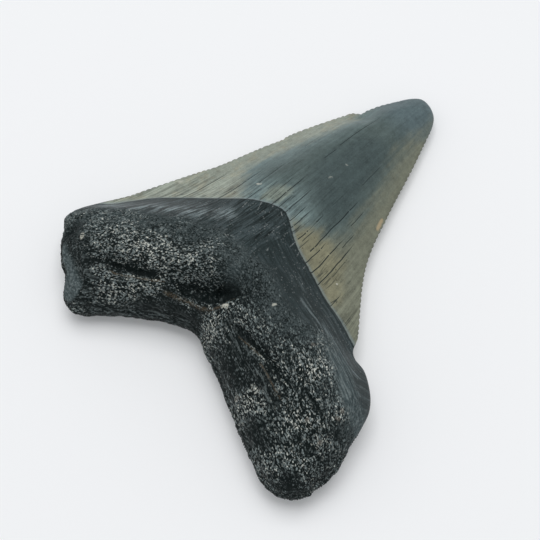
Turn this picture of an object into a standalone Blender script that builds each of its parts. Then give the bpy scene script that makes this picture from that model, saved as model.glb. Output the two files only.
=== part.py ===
"""A fossil megalodon tooth, lying on its flatter (labial) face.

X runs across the tooth, +Y from the root to the tip, and +Z up from the resting face.
The origin is under the middle of the tooth's box, on the plane that it rests on.
Sizes are in millimetres, and the finished mesh is in metres.

The tooth is one solid. Its shown face and its resting face are two height fields over
the same outline, and they meet at the rim.
"""
import math
from collections import namedtuple

import bpy
import numpy as np
from mathutils import Vector, noise
from mathutils.geometry import delaunay_2d_cdt

MM = 0.001

# The outline from above, anticlockwise from the tip: across, along, height of the rim.
LEFT_CUTTING_EDGE = [
    (-2.5, 37.2, 2.3), (-4.1, 36.0, 2.3), (-5.6, 34.0, 2.3), (-7.2, 31.5, 2.4),
    (-8.4, 28.7, 2.5), (-8.7, 27.4, 2.6), (-9.9, 26.5, 2.6), (-10.7, 25.1, 2.6),
    (-13.7, 18.6, 2.8), (-15.2, 14.8, 2.9), (-15.1, 13.7, 2.9), (-16.9, 9.8, 3.1),
    (-19.7, 2.0, 3.4), (-21.2, -1.2, 3.6), (-23.1, -5.3, 3.8), (-25.5, -11.0, 4.3),
    (-26.3, -13.3, 4.7),
]
LEFT_LOBE = [
    (-27.3, -15.8, 5.4), (-28.7, -18.5, 5.8), (-29.9, -21.1, 6.0), (-30.8, -24.0, 5.8),
    (-29.4, -26.1, 5.2), (-27.5, -28.6, 4.8), (-25.3, -30.5, 4.4), (-22.9, -32.1, 4.2),
    (-20.9, -34.3, 4.0), (-18.6, -35.2, 3.8), (-16.3, -34.2, 3.8), (-14.5, -32.3, 3.8),
    (-11.5, -30.1, 3.8), (-8.0, -27.6, 3.8),
]
BASAL_NOTCH = [
    (-5.0, -26.1, 3.8), (-2.6, -25.0, 3.8), (0.1, -24.8, 3.8), (3.8, -26.3, 3.8),
]
RIGHT_LOBE = [
    (8.2, -28.2, 3.8), (15.2, -31.8, 3.8), (22.0, -35.0, 3.8), (24.6, -36.0, 3.8),
    (27.3, -36.0, 3.8), (29.6, -34.9, 4.0), (31.3, -32.7, 4.2), (31.5, -31.3, 4.4),
    (32.1, -28.6, 4.6), (32.0, -26.2, 4.9), (31.2, -22.8, 5.3), (30.4, -19.2, 5.6),
    (29.6, -16.6, 5.6), (27.8, -14.2, 5.5), (24.7, -11.8, 5.2), (22.2, -11.1, 5.0),
]
RIGHT_CUTTING_EDGE = [
    (20.9, -10.1, 4.8), (20.3, -8.7, 4.5), (19.6, -7.2, 4.3), (17.0, -3.6, 4.0),
    (14.4, 0.1, 3.7), (12.2, 3.8, 3.4), (10.4, 8.1, 3.1), (9.0, 12.6, 2.9),
    (7.6, 17.2, 2.7), (5.9, 23.4, 2.6), (3.9, 29.9, 2.5), (2.8, 33.2, 2.4),
    (1.5, 35.6, 2.3), (-0.4, 36.9, 2.3),
]
OUTLINE = LEFT_CUTTING_EDGE + LEFT_LOBE + BASAL_NOTCH + RIGHT_LOBE + RIGHT_CUTTING_EDGE

# The chevron where the enamel ends at the bourlette, carried a little past both edges.
CHEVRON = [
    (-31.5, -20.2), (-28.4, -18.4), (-26.4, -16.8), (-25.0, -14.7), (-22.7, -11.8),
    (-19.4, -9.2), (-15.7, -6.9), (-12.1, -4.9), (-8.1, -2.8), (-5.8, -1.9),
    (-3.6, -1.1), (-1.7, -1.0), (0.5, -2.3), (2.2, -3.5), (4.2, -4.5), (6.2, -5.1),
    (8.8, -5.8), (12.3, -6.9), (16.0, -7.7), (19.9, -9.1), (24.0, -10.6),
]
BOURLETTE_STEP = 0.35
STEP_HALF_WIDTH = 0.3
# Where the smooth bourlette gives way to rough, slightly proud bone.
BONE_EDGE = [
    (-34.0, -23.5), (-30.0, -21.9), (-26.7, -20.4), (-23.4, -18.7), (-17.4, -16.4),
    (-13.9, -15.0), (-9.8, -12.7), (-5.1, -11.6), (-0.3, -12.1), (4.6, -12.1),
    (7.3, -13.1), (10.7, -14.7), (14.0, -14.0), (18.1, -12.7), (23.0, -14.2),
    (27.0, -17.0), (34.0, -20.0),
]
BONE_RISE = 0.3

# Spot heights of the shown face, away from the rim: across, along, height.
SPOT_HEIGHTS = [
    (-2.2, 35.0, 4.6), (-2.6, 26.0, 6.7), (-3.0, 17.0, 8.6), (-3.0, 8.0, 10.2),
    (-2.5, 1.0, 11.0), (-12.0, 0.0, 9.8), (8.0, 2.0, 9.6), (14.0, -4.0, 7.8),
    (-19.0, -7.5, 8.6), (-2.2, -3.0, 11.6), (-11.0, -8.5, 11.3), (8.0, -8.0, 10.9),
    (18.0, -10.5, 8.4), (-24.0, -17.0, 9.4), (-3.0, -11.5, 14.6), (4.0, -13.5, 14.8),
    (-12.0, -14.8, 14.0), (12.0, -15.5, 13.6), (-18.0, -20.0, 12.6),
    (-24.5, -25.5, 10.6), (-12.0, -25.0, 12.4), (-18.0, -29.5, 10.6),
    (0.0, -21.0, 13.4), (10.0, -24.0, 12.8), (19.5, -21.0, 12.8),
    (26.0, -18.0, 10.4), (27.5, -25.0, 11.2), (26.5, -31.0, 10.2), (18.0, -29.0, 11.4),
]

# How far in from the rim each edge takes to reach its full height. The crown's reach
# grows from the tip down, as the blade widens.
ROOT_ROUNDING_ABOVE = 6.5
ROOT_ROUNDING_BELOW = 3.6
TIP_ROUNDING = 4.5
TIP_ROUNDING_STARTS = 31.0
TIP_ALONG = 37.2
CROWN_REACH_AT_TIP = 2.5
CROWN_REACH_GROWTH = 0.33
UNDER_CROWN_REACH = 0.8
# How far in from the rim the relief of the shown face takes to reach its full depth.
RELIEF_FADE = 3.0
CUT_FADE = 1.5

# Grooves of the root. The lip is how far the bone rises along the groove's upper side.
Groove = namedtuple("Groove", "route half_width depth lip")
LIP_PLACE = 2.2
LIP_WIDTH = 1.3
LEFT_LOBE_GROOVE = Groove(
    [(-19.6, -28.5), (-17.1, -27.3), (-15.3, -26.7), (-12.3, -25.2), (-9.1, -23.9),
     (-7.0, -22.6)], 0.9, 1.4, 0.6)
NUTRIENT_PIT = Groove([(-5.4, -21.8), (-2.8, -20.8), (0.2, -19.3), (2.5, -17.4)], 1.6, 2.7, 0.5)
RIGHT_LOBE_GROOVE = Groove(
    [(4.2, -20.8), (6.8, -22.0), (10.1, -22.6), (13.3, -23.1), (16.4, -23.8),
     (19.8, -25.2)], 0.8, 1.1, 0.5)
RIGHT_LOBE_SCRATCH = Groove([(20.7, -22.8), (23.1, -23.5), (25.5, -24.0)], 0.6, 0.5, 0.3)
GROOVES = [LEFT_LOBE_GROOVE, NUTRIENT_PIT, RIGHT_LOBE_GROOVE, RIGHT_LOBE_SCRATCH]

Hollow = namedtuple("Hollow", "centre radius depth")
PIT_FLOOR = Hollow((1.6, -18.2), 1.9, 1.6)
LEFT_END_HOLLOW = Hollow((-26.6, -25.9), 1.4, 1.3)
TIP_CHIP = Hollow((-8.2, 25.6), 2.2, 0.7)
HOLLOWS = [PIT_FLOOR, LEFT_END_HOLLOW, TIP_CHIP]

# The flat worn facet on the end of the left lobe: a point on it and its outward normal.
FACET_POINT = (-19.3, -32.9, 7.6)
FACET_NORMAL = (-0.42, -0.66, 0.62)

# The resting face: a shallow concavity between the lobes, and flats that touch down.
UNDER_HOLLOW = Hollow((0.0, -15.0), 9.0, 1.1)
UNDER_FLAT = 0.4

# Lumps of the root: half height and size of each octave.
LUMPS = [(0.5, 5.0), (0.25, 2.2)]

SERRATION_PITCH = 1.0
SERRATION_DEPTH = 0.14

# Spacing of the mesh, and of the paths that its features are measured from.
PATH_STEP = 0.8
RIM_STEP = SERRATION_PITCH / 2
ROOT_STEP = 0.88
CROWN_STEP = 1.5
UNDER_STEP = 2.3
ROOT_RINGS = (0.35, 1.2, 2.5)
CROWN_RINGS = (0.7, 1.9)
UNDER_RINGS = (0.35, 1.3, 2.9)

ROOT_COLOUR = (0.055, 0.065, 0.07, 1.0)
ROOT_ROUGHNESS = 0.7


def smooth_path(points, step, closed):
    """Points about `step` apart on the smooth curve through `points`."""
    pts = np.array(points, float)
    count = len(pts)
    spans = count if closed else count - 1
    out = []
    for k in range(spans):
        if closed:
            p0, p1, p2, p3 = (pts[(k + j) % count] for j in (-1, 0, 1, 2))
        else:
            p0, p1 = pts[max(k - 1, 0)], pts[k]
            p2, p3 = pts[k + 1], pts[min(k + 2, count - 1)]
        pieces = max(1, round(np.linalg.norm((p2 - p1)[:2]) / step))
        for t in np.arange(pieces) / pieces:
            bend = 2 * p0 - 5 * p1 + 4 * p2 - p3
            twist = 3 * p1 - p0 - 3 * p2 + p3
            out.append(p1 + 0.5 * t * ((p2 - p0) + t * (bend + t * twist)))
    if not closed:
        out.append(pts[-1])
    return np.array(out)


def smoothstep(low, high, x):
    t = np.clip((x - low) / (high - low), 0.0, 1.0)
    return t * t * (3 - 2 * t)


def nearest_on(path, xy, closed):
    """Distance to a path, the place along it as a real index, and the side (+ is left)."""
    start = path[:, :2] if closed else path[:-1, :2]
    end = np.roll(path[:, :2], -1, axis=0) if closed else path[1:, :2]
    run = end - start
    length2 = (run ** 2).sum(1)
    gap = xy[:, None, :] - start[None]
    t = np.clip((gap * run).sum(2) / length2, 0.0, 1.0)
    away = gap - t[..., None] * run
    dist2 = (away ** 2).sum(2)
    best = dist2.argmin(1)
    rows = np.arange(len(xy))
    side = np.sign(run[best, 0] * gap[rows, best, 1] - run[best, 1] * gap[rows, best, 0])
    return np.sqrt(dist2[rows, best]), best + t[rows, best], side


def thin_plate(spots):
    """The smoothest height field through the spot heights."""
    xy = np.array([s[:2] for s in spots])
    z = np.array([s[2] for s in spots])

    def kernel(a, b):
        r2 = ((a[:, None] - b[None]) ** 2).sum(2)
        return r2 * np.log(r2 + 1e-9)

    def plane(a):
        return np.column_stack([np.ones(len(a)), a])

    count = len(xy)
    system = np.zeros((count + 3, count + 3))
    system[:count, :count] = kernel(xy, xy)
    system[:count, count:] = plane(xy)
    system[count:, :count] = plane(xy).T
    weights = np.linalg.solve(system, np.append(z, [0, 0, 0]))
    return lambda a: kernel(a, xy) @ weights[:count] + plane(a) @ weights[count:]


RIM = smooth_path(OUTLINE, RIM_STEP, closed=True)
CHEVRON_LINE = smooth_path(CHEVRON, PATH_STEP, closed=False)
BONE_LINE = smooth_path(BONE_EDGE, PATH_STEP, closed=False)
SHOWN_HEIGHT = thin_plate(SPOT_HEIGHTS)


def rim_height(place):
    """Height of the rim at a place along it."""
    low = np.floor(place).astype(int)
    part = place - low
    heights = RIM[:, 2]
    return heights[low % len(RIM)] * (1 - part) + heights[(low + 1) % len(RIM)] * part


def below(line, xy):
    """Signed distance from a line that runs left to right: positive towards the root."""
    dist, _, side = nearest_on(line, xy, closed=False)
    return -dist * side


def below_chevron(xy):
    return below(CHEVRON_LINE, xy)


def rootness(xy):
    """0 on the crown and 1 on the rough bone, changing across the bourlette."""
    past_chevron = below_chevron(xy)
    width = np.maximum(past_chevron - below(BONE_LINE, xy), 1.0)
    return smoothstep(-0.45, 1.1, past_chevron / width)


def root_profile(u):
    """A quarter round."""
    return np.sqrt(1 - (1 - np.clip(u, 0, 1)) ** 2)


def crown_profile(u):
    """A blade: thin flat margins, then a full body."""
    u = np.clip(u, 0, 1)
    return 0.6 * u * (2 - u) + 0.4 * smoothstep(0.05, 0.95, u)


def crown_reach(xy):
    """How far in from the cutting edge the blade reaches its full thickness."""
    return CROWN_REACH_AT_TIP + CROWN_REACH_GROWTH * (TIP_ALONG - xy[:, 1])


def lumps(xy):
    """The root's uneven swelling, the same each time."""
    heights = np.zeros(len(xy))
    for half_height, size in LUMPS:
        heights += [half_height * noise.noise(Vector((x / size, y / size, size)))
                    for x, y in xy]
    return heights


def hollow_depth(hollow, xy):
    gap2 = ((xy - np.array(hollow.centre)) ** 2).sum(1)
    return hollow.depth * np.exp(-gap2 / hollow.radius ** 2)


def groove_depth(groove, xy):
    """Deepest at the middle of the route, with a lip that rises on its left-hand side."""
    path = smooth_path(groove.route, PATH_STEP, closed=False)
    dist, place, side = nearest_on(path, xy, closed=False)
    swell = 0.55 + 0.45 * np.sin(math.pi * place / (len(path) - 1))
    cut = groove.depth * np.exp(-(dist / groove.half_width) ** 2)
    beyond = (dist * side / groove.half_width - LIP_PLACE) / LIP_WIDTH
    return swell * (cut - groove.lip * np.exp(-beyond ** 2))


def facet_height(xy):
    slope = (xy - FACET_POINT[:2]) @ np.array(FACET_NORMAL[:2])
    return FACET_POINT[2] - slope / FACET_NORMAL[2]


def shown_face(xy):
    """Height of the shown (lingual) face."""
    dist, place, _ = nearest_on(RIM, xy, closed=True)
    rim = rim_height(place)
    past_chevron = below_chevron(xy)
    past_bone_edge = below(BONE_LINE, xy)
    root = rootness(xy)
    tipness = smoothstep(TIP_ROUNDING_STARTS, TIP_ALONG, xy[:, 1])
    crown = crown_profile(dist / crown_reach(xy))
    crown = crown * (1 - tipness) + root_profile(dist / TIP_ROUNDING) * tipness
    rise = crown * (1 - root) + root_profile(dist / ROOT_ROUNDING_ABOVE) * root
    height = rim + (SHOWN_HEIGHT(xy) - rim) * rise
    height += smoothstep(0.0, RELIEF_FADE, dist) * (
        BOURLETTE_STEP * smoothstep(-STEP_HALF_WIDTH, STEP_HALF_WIDTH, past_chevron)
        + BONE_RISE * smoothstep(-1.0, 1.0, past_bone_edge)
        + lumps(xy) * smoothstep(-4.0, 1.0, past_bone_edge))
    cuts = [groove_depth(groove, xy) for groove in GROOVES]
    cuts += [hollow_depth(hollow, xy) for hollow in HOLLOWS]
    height -= sum(cuts) * smoothstep(0.0, CUT_FADE, dist)
    return np.minimum(height, np.maximum(facet_height(xy), rim))


def resting_face(xy):
    """Height of the resting (labial) face, cut flat where it touches down."""
    dist, place, _ = nearest_on(RIM, xy, closed=True)
    rim = rim_height(place)
    root = rootness(xy)
    crown = crown_profile(dist / (UNDER_CROWN_REACH * crown_reach(xy)))
    drop = crown * (1 - root) + root_profile(dist / ROOT_ROUNDING_BELOW) * root
    height = rim * (1 - drop)
    height += hollow_depth(UNDER_HOLLOW, xy)
    return np.maximum(height - UNDER_FLAT * drop, 0.0)


def inward_normals(path):
    run = np.roll(path[:, :2], -1, axis=0) - np.roll(path[:, :2], 1, axis=0)
    run /= np.linalg.norm(run, axis=1)[:, None]
    return np.column_stack([-run[:, 1], run[:, 0]])


def serrated(rim):
    """The rim with the fine teeth of the two cutting edges: every second point set in."""
    edge = smoothstep(0.5, 2.5, -below_chevron(rim[:, :2]))
    edge *= 1 - smoothstep(TIP_ROUNDING_STARTS, TIP_ROUNDING_STARTS + 3.0, rim[:, 1])
    edge *= np.arange(len(rim)) % 2
    out = rim.copy()
    out[:, :2] += inward_normals(rim) * (SERRATION_DEPTH * edge)[:, None]
    return out


def hex_grid(step):
    low, high = RIM[:, :2].min(0), RIM[:, :2].max(0)
    rows = []
    row_gap = step * math.sqrt(0.75)
    for k, y in enumerate(np.arange(low[1], high[1], row_gap)):
        x = np.arange(low[0] + 0.5 * step * (k % 2), high[0], step)
        rows.append(np.column_stack([x, np.full(len(x), y)]))
    return np.concatenate(rows)


def ring(rim, inset):
    """Points at one distance in from the rim, without those that crowd a corner."""
    xy = rim[:, :2] + inward_normals(rim) * inset
    dist, _, _ = nearest_on(RIM, xy, closed=True)
    return xy[dist > 0.93 * inset]


def inside_points(step, clear):
    """An even field of points at least `clear` in from the rim."""
    xy = hex_grid(step)
    dist, _, side = nearest_on(RIM, xy, closed=True)
    return xy[(side > 0) & (dist > clear)]


def plan(rim, points):
    """Triangles over the whole outline, whose first points are the rim's."""
    verts = [Vector(p) for p in np.concatenate([rim[:, :2], points])]
    edges = [(k, (k + 1) % len(rim)) for k in range(len(rim))]
    xy, _, faces, *_ = delaunay_2d_cdt(verts, edges, [], 1, 1e-6)
    if len(xy) != len(verts):
        raise RuntimeError("two points of the plan coincide")
    return np.array(xy), faces


def spread(rim, rings, step, keep):
    """Rings that follow the rim, with an even field of points inside them."""
    groups = [ring(rim, inset) for inset in rings]
    groups.append(inside_points(step, rings[-1] + 0.45 * step))
    points = np.concatenate(groups)
    return points[keep(points)]


def offset_rows(path, offsets):
    """Rows of points beside a path, so that the mesh follows it."""
    run = np.gradient(path, axis=0)
    run /= np.linalg.norm(run, axis=1)[:, None]
    across = np.column_stack([-run[:, 1], run[:, 0]])
    return np.concatenate([path + across * offset for offset in offsets])


def feature_rows():
    """Rows along the foot and top of the bourlette's step, and along every groove."""
    rows = [offset_rows(CHEVRON_LINE, (STEP_HALF_WIDTH, -STEP_HALF_WIDTH))]
    for groove in GROOVES:
        path = smooth_path(groove.route, ROOT_STEP, closed=False)
        rows.append(offset_rows(path, (0.0, groove.half_width, -groove.half_width)))
    points = np.concatenate(rows)
    dist, _, side = nearest_on(RIM, points, closed=True)
    return points[(side > 0) & (dist > 0.4)]


def clear_of_grooves(xy):
    clear = np.full(len(xy), True)
    for groove in GROOVES:
        path = smooth_path(groove.route, ROOT_STEP, closed=False)
        dist, _, _ = nearest_on(path, xy, closed=False)
        clear &= dist > groove.half_width + 0.4 * ROOT_STEP
    return clear


def thinned(rim):
    """Every rim point on the cutting edges, and every second one round the root."""
    on_crown = below_chevron(rim[:, :2]) < 0
    return rim[on_crown | (np.arange(len(rim)) % 2 == 0)]


def tooth_mesh():
    """The two faces over one plan, joined at the rim, centred on the origin, in metres."""
    rim = thinned(serrated(RIM))
    even_rim = RIM[::2]
    root_limit = STEP_HALF_WIDTH + 0.5 * ROOT_STEP
    crown_limit = STEP_HALF_WIDTH + 0.5 * CROWN_STEP
    root = spread(even_rim, ROOT_RINGS, ROOT_STEP,
                  lambda xy: (below_chevron(xy) > root_limit) & clear_of_grooves(xy))
    crown = spread(even_rim, CROWN_RINGS, CROWN_STEP,
                   lambda xy: below_chevron(xy) < -crown_limit)
    shown, shown_faces = plan(rim, np.concatenate([feature_rows(), root, crown]))
    under = spread(even_rim, UNDER_RINGS, UNDER_STEP, lambda xy: np.full(len(xy), True))
    resting, resting_faces = plan(rim, under)

    edge = len(rim)
    shift = len(shown) - edge
    heights = [rim[:, 2], shown_face(shown[edge:]), resting_face(resting[edge:])]
    verts = np.column_stack([np.concatenate([shown, resting[edge:]]),
                             np.concatenate(heights)])
    faces = [tuple(face) for face in shown_faces]
    for face in resting_faces:
        faces.append(tuple(k if k < edge else k + shift for k in reversed(face)))
    verts[:, :2] -= (verts[:, :2].min(0) + verts[:, :2].max(0)) / 2
    mesh = bpy.data.meshes.new("tooth")
    mesh.from_pydata((verts * MM).tolist(), [], faces)
    mesh.validate()
    mesh.shade_smooth()
    mesh.set_sharp_from_angle(angle=math.radians(50))
    return mesh


def fossil_material():
    material = bpy.data.materials.new("fossil_bone_and_enamel")
    material.use_nodes = True
    shader = material.node_tree.nodes["Principled BSDF"]
    shader.inputs["Base Color"].default_value = ROOT_COLOUR
    shader.inputs["Roughness"].default_value = ROOT_ROUGHNESS
    shader.inputs["Metallic"].default_value = 0.0
    return material


def main():
    for item in list(bpy.data.objects):
        bpy.data.objects.remove(item, do_unlink=True)
    mesh = tooth_mesh()
    mesh.materials.append(fossil_material())
    tooth = bpy.data.objects.new("tooth", mesh)
    bpy.context.scene.collection.objects.link(tooth)


main()
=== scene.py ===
"""The looks of a fossil megalodon tooth: blue-grey enamel, a smooth black bourlette and rough bone.

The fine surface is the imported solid's two height fields on a far closer mesh, with finer slits.
Its places are in the tooth's own millimetres: X across the tooth and +Y towards the tip.
"""
import math
from collections import namedtuple
from functools import partial, reduce

import bpy
import numpy as np
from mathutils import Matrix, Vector, kdtree, noise
from mathutils.geometry import delaunay_2d_cdt


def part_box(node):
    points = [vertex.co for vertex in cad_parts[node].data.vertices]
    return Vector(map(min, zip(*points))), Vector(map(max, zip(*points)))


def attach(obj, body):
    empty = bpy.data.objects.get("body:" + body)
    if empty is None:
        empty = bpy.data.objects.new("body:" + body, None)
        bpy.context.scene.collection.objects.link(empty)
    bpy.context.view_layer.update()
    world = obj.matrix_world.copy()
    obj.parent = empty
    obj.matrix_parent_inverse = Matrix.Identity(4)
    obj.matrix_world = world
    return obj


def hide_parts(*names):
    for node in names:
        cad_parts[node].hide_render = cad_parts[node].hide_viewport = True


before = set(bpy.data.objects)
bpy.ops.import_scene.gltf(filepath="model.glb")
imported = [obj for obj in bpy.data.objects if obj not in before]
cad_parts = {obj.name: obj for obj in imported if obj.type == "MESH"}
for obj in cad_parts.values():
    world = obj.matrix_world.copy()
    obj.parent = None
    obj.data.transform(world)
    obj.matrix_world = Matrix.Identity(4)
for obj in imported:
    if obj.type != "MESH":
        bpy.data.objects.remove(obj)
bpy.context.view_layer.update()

NODE = "tooth"
MM = 0.001

# ---------------------------------------------------------------- the form of the solid

# The outline from above, anticlockwise from the tip: across, along, height of the rim.
LEFT_CUTTING_EDGE = [
    (-2.5, 37.2, 2.3), (-4.1, 36.0, 2.3), (-5.6, 34.0, 2.3), (-7.2, 31.5, 2.4),
    (-8.4, 28.7, 2.5), (-8.7, 27.4, 2.6), (-9.9, 26.5, 2.6), (-10.7, 25.1, 2.6),
    (-13.7, 18.6, 2.8), (-15.2, 14.8, 2.9), (-15.35, 13.7, 2.9), (-16.9, 9.8, 3.1),
    (-19.7, 2.0, 3.4), (-21.2, -1.2, 3.6), (-23.1, -5.3, 3.8), (-25.5, -11.0, 4.3),
    (-26.3, -13.3, 4.7),
]
LEFT_LOBE = [
    (-27.3, -15.8, 5.4), (-28.7, -18.5, 5.8), (-29.9, -21.1, 6.0), (-30.8, -24.0, 5.8),
    (-29.4, -26.1, 5.2), (-27.5, -28.6, 4.8), (-25.3, -30.5, 4.4), (-22.9, -32.1, 4.2),
    (-20.9, -34.3, 4.0), (-18.6, -35.2, 3.8), (-16.3, -34.2, 3.8), (-14.5, -32.3, 3.8),
    (-11.5, -30.1, 3.8), (-8.0, -27.6, 3.8),
]
BASAL_NOTCH = [
    (-5.0, -26.1, 3.8), (-2.6, -25.0, 3.8), (0.1, -24.8, 3.8), (3.8, -26.3, 3.8),
]
RIGHT_LOBE = [
    (8.2, -28.2, 3.8), (15.2, -31.8, 3.8), (22.0, -35.0, 3.8), (24.6, -36.0, 3.8),
    (27.3, -36.0, 3.8), (29.6, -34.9, 4.0), (31.3, -32.7, 4.2), (31.5, -31.3, 4.4),
    (32.1, -28.6, 4.6), (32.0, -26.2, 4.9), (31.2, -22.8, 5.3), (30.4, -19.2, 5.6),
    (29.6, -16.6, 5.6), (27.8, -14.2, 5.5), (24.7, -11.8, 5.2), (22.2, -11.1, 5.0),
]
RIGHT_CUTTING_EDGE = [
    (20.9, -10.1, 4.8), (20.3, -8.7, 4.5), (19.6, -7.2, 4.3), (17.0, -3.6, 4.0),
    (14.4, 0.1, 3.7), (12.2, 3.8, 3.4), (10.4, 8.1, 3.1), (9.0, 12.6, 2.9),
    (7.6, 17.2, 2.7), (5.9, 23.4, 2.6), (3.9, 29.9, 2.5), (2.8, 33.2, 2.4),
    (1.5, 35.6, 2.3), (-0.4, 36.9, 2.3),
]
OUTLINE = LEFT_CUTTING_EDGE + LEFT_LOBE + BASAL_NOTCH + RIGHT_LOBE + RIGHT_CUTTING_EDGE

# The chevron where the enamel ends at the bourlette, carried a little past both edges.
CHEVRON = [
    (-31.5, -20.2), (-28.4, -18.4), (-26.4, -16.8), (-25.0, -14.7), (-22.7, -11.8),
    (-19.4, -9.2), (-15.7, -6.9), (-12.1, -4.9), (-8.1, -2.8), (-5.8, -1.9),
    (-3.6, -1.1), (-1.7, -1.0), (0.5, -2.3), (2.2, -3.5), (4.2, -4.5), (6.2, -5.1),
    (8.8, -5.8), (12.3, -6.9), (16.0, -7.7), (19.9, -9.1), (24.0, -10.6),
]
BOURLETTE_STEP = 0.35
STEP_HALF_WIDTH = 0.3
# Where the smooth bourlette gives way to rough, slightly proud bone.
BONE_EDGE = [
    (-34.0, -23.5), (-30.0, -21.9), (-26.7, -20.4), (-23.4, -18.7), (-17.4, -16.4),
    (-13.9, -15.0), (-9.8, -12.7), (-5.1, -11.6), (-0.3, -12.1), (4.6, -12.1),
    (7.3, -13.1), (10.7, -14.7), (14.0, -14.0), (18.1, -12.7), (23.0, -14.2),
    (27.0, -17.0), (34.0, -20.0),
]
BONE_RISE = 0.3

# Spot heights of the shown face, away from the rim: across, along, height.
SPOT_HEIGHTS = [
    (-2.2, 35.0, 4.6), (-2.6, 26.0, 6.7), (-3.0, 17.0, 8.6), (-3.0, 8.0, 10.2),
    (-2.5, 1.0, 11.0), (-12.0, 0.0, 9.8), (8.0, 2.0, 9.6), (14.0, -4.0, 7.8),
    (-19.0, -7.5, 8.6), (-2.2, -3.0, 11.6), (-11.0, -8.5, 11.3), (8.0, -8.0, 10.9),
    (18.0, -10.5, 8.4), (-24.0, -17.0, 9.4), (-3.0, -11.5, 14.6), (4.0, -13.5, 14.8),
    (-12.0, -14.8, 14.0), (12.0, -15.5, 13.6), (-18.0, -20.0, 12.6),
    (-24.5, -25.5, 10.6), (-12.0, -25.0, 12.4), (-18.0, -29.5, 10.6),
    (0.0, -21.0, 13.4), (10.0, -24.0, 12.8), (19.5, -21.0, 12.8),
    (26.0, -18.0, 10.4), (27.5, -25.0, 11.2), (26.5, -31.0, 10.2), (18.0, -29.0, 11.4),
]

# How far in from the rim each edge takes to reach its full height.
ROOT_ROUNDING_ABOVE = 6.5
ROOT_ROUNDING_BELOW = 3.6
TIP_ROUNDING = 4.5
CROWN_REACH_AT_TIP = 2.5
CROWN_REACH_GROWTH = 0.33
UNDER_CROWN_REACH = 0.8
# Where along the tooth the tip's own rounding begins, and where the tip is.
TIP_ROUNDING_STARTS = 31.0
TIP_ALONG = 37.2
# How far in from the rim the relief and the cuts take to reach their full depth.
RELIEF_FADE = 3.0
CUT_FADE = 1.5

Groove = namedtuple("Groove", "route half_width depth lip")
# Where a groove's lip stands beside it and how wide it is, both in the groove's half widths.
LIP_PLACE = 2.2
LIP_WIDTH = 1.3
LEFT_LOBE_GROOVE = Groove(
    [(-19.6, -28.5), (-17.1, -27.3), (-15.3, -26.7), (-12.3, -25.2), (-9.1, -23.9),
     (-7.0, -22.6)], 0.9, 1.0, 0.6)
NUTRIENT_PIT = Groove([(-5.4, -21.8), (-2.8, -20.8), (0.2, -19.3), (2.5, -17.4)], 1.6, 2.7, 0.5)
RIGHT_LOBE_GROOVE = Groove(
    [(4.2, -20.8), (6.8, -22.0), (10.1, -22.6), (13.3, -23.1), (16.4, -23.8),
     (19.8, -25.2)], 0.8, 0.9, 0.5)
RIGHT_LOBE_SCRATCH = Groove([(20.7, -22.8), (23.1, -23.5), (25.5, -24.0)], 0.6, 0.5, 0.3)
GROOVES = [LEFT_LOBE_GROOVE, NUTRIENT_PIT, RIGHT_LOBE_GROOVE, RIGHT_LOBE_SCRATCH]

Hollow = namedtuple("Hollow", "centre radius depth")
PIT_FLOOR = Hollow((1.6, -18.2), 1.9, 1.6)
LEFT_END_HOLLOW = Hollow((-26.6, -25.9), 1.4, 1.3)
TIP_CHIP = Hollow((-8.2, 25.6), 2.2, 0.7)
HOLLOWS = [PIT_FLOOR, LEFT_END_HOLLOW, TIP_CHIP]

# The flat worn facet on the end of the left lobe: a point on it and its outward normal.
FACET_POINT = (-19.3, -32.9, 7.6)
FACET_NORMAL = (-0.42, -0.66, 0.62)

# The steep edge of the pit, and the bridge that parts its two hollows.
PIT_EDGE = [
    (-6.9, -22.7), (-4.4, -23.1), (-2.4, -22.7), (-0.6, -22.3), (1.4, -21.6), (3.0, -20.4),
    (3.7, -18.7), (4.0, -17.4), (2.5, -16.6), (0.8, -17.0), (-0.3, -18.2), (-1.0, -19.2),
    (-2.8, -20.1), (-5.0, -21.2),
]
PIT_STEP = 0.8
PIT_WALL = 0.9
PIT_BRIDGE = Hollow((-0.5, -20.2), 0.8, -1.0)

# The resting face: a shallow concavity between the lobes, and flats that touch down.
UNDER_HOLLOW = Hollow((0.0, -15.0), 9.0, 1.1)
UNDER_FLAT = 0.4

# Lumps of the root: half height and size of each octave.
LUMPS = [(0.5, 5.0), (0.25, 2.2)]

# Spacing of the points along every smooth path but the rim.
PATH_STEP = 0.8

# ---------------------------------------------------------------- what only the looks have

# Where the enamel ends on the resting face, from one end of the chevron to the other.
UNDER_ENAMEL_EDGE = [
    (-33.0, -21.0), (-28.4, -18.4), (-26.4, -16.2), (-20.0, -14.0), (-14.0, -12.6), (-7.0, -10.0),
    (-2.0, -9.0), (4.0, -9.6), (10.0, -11.0), (16.0, -10.8), (21.5, -10.3), (26.0, -11.0),
]

# The cracks of the enamel fan out from the root and would meet at this place past the tip.
FAN_CENTRE = (-2.0, 90.0)
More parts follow.
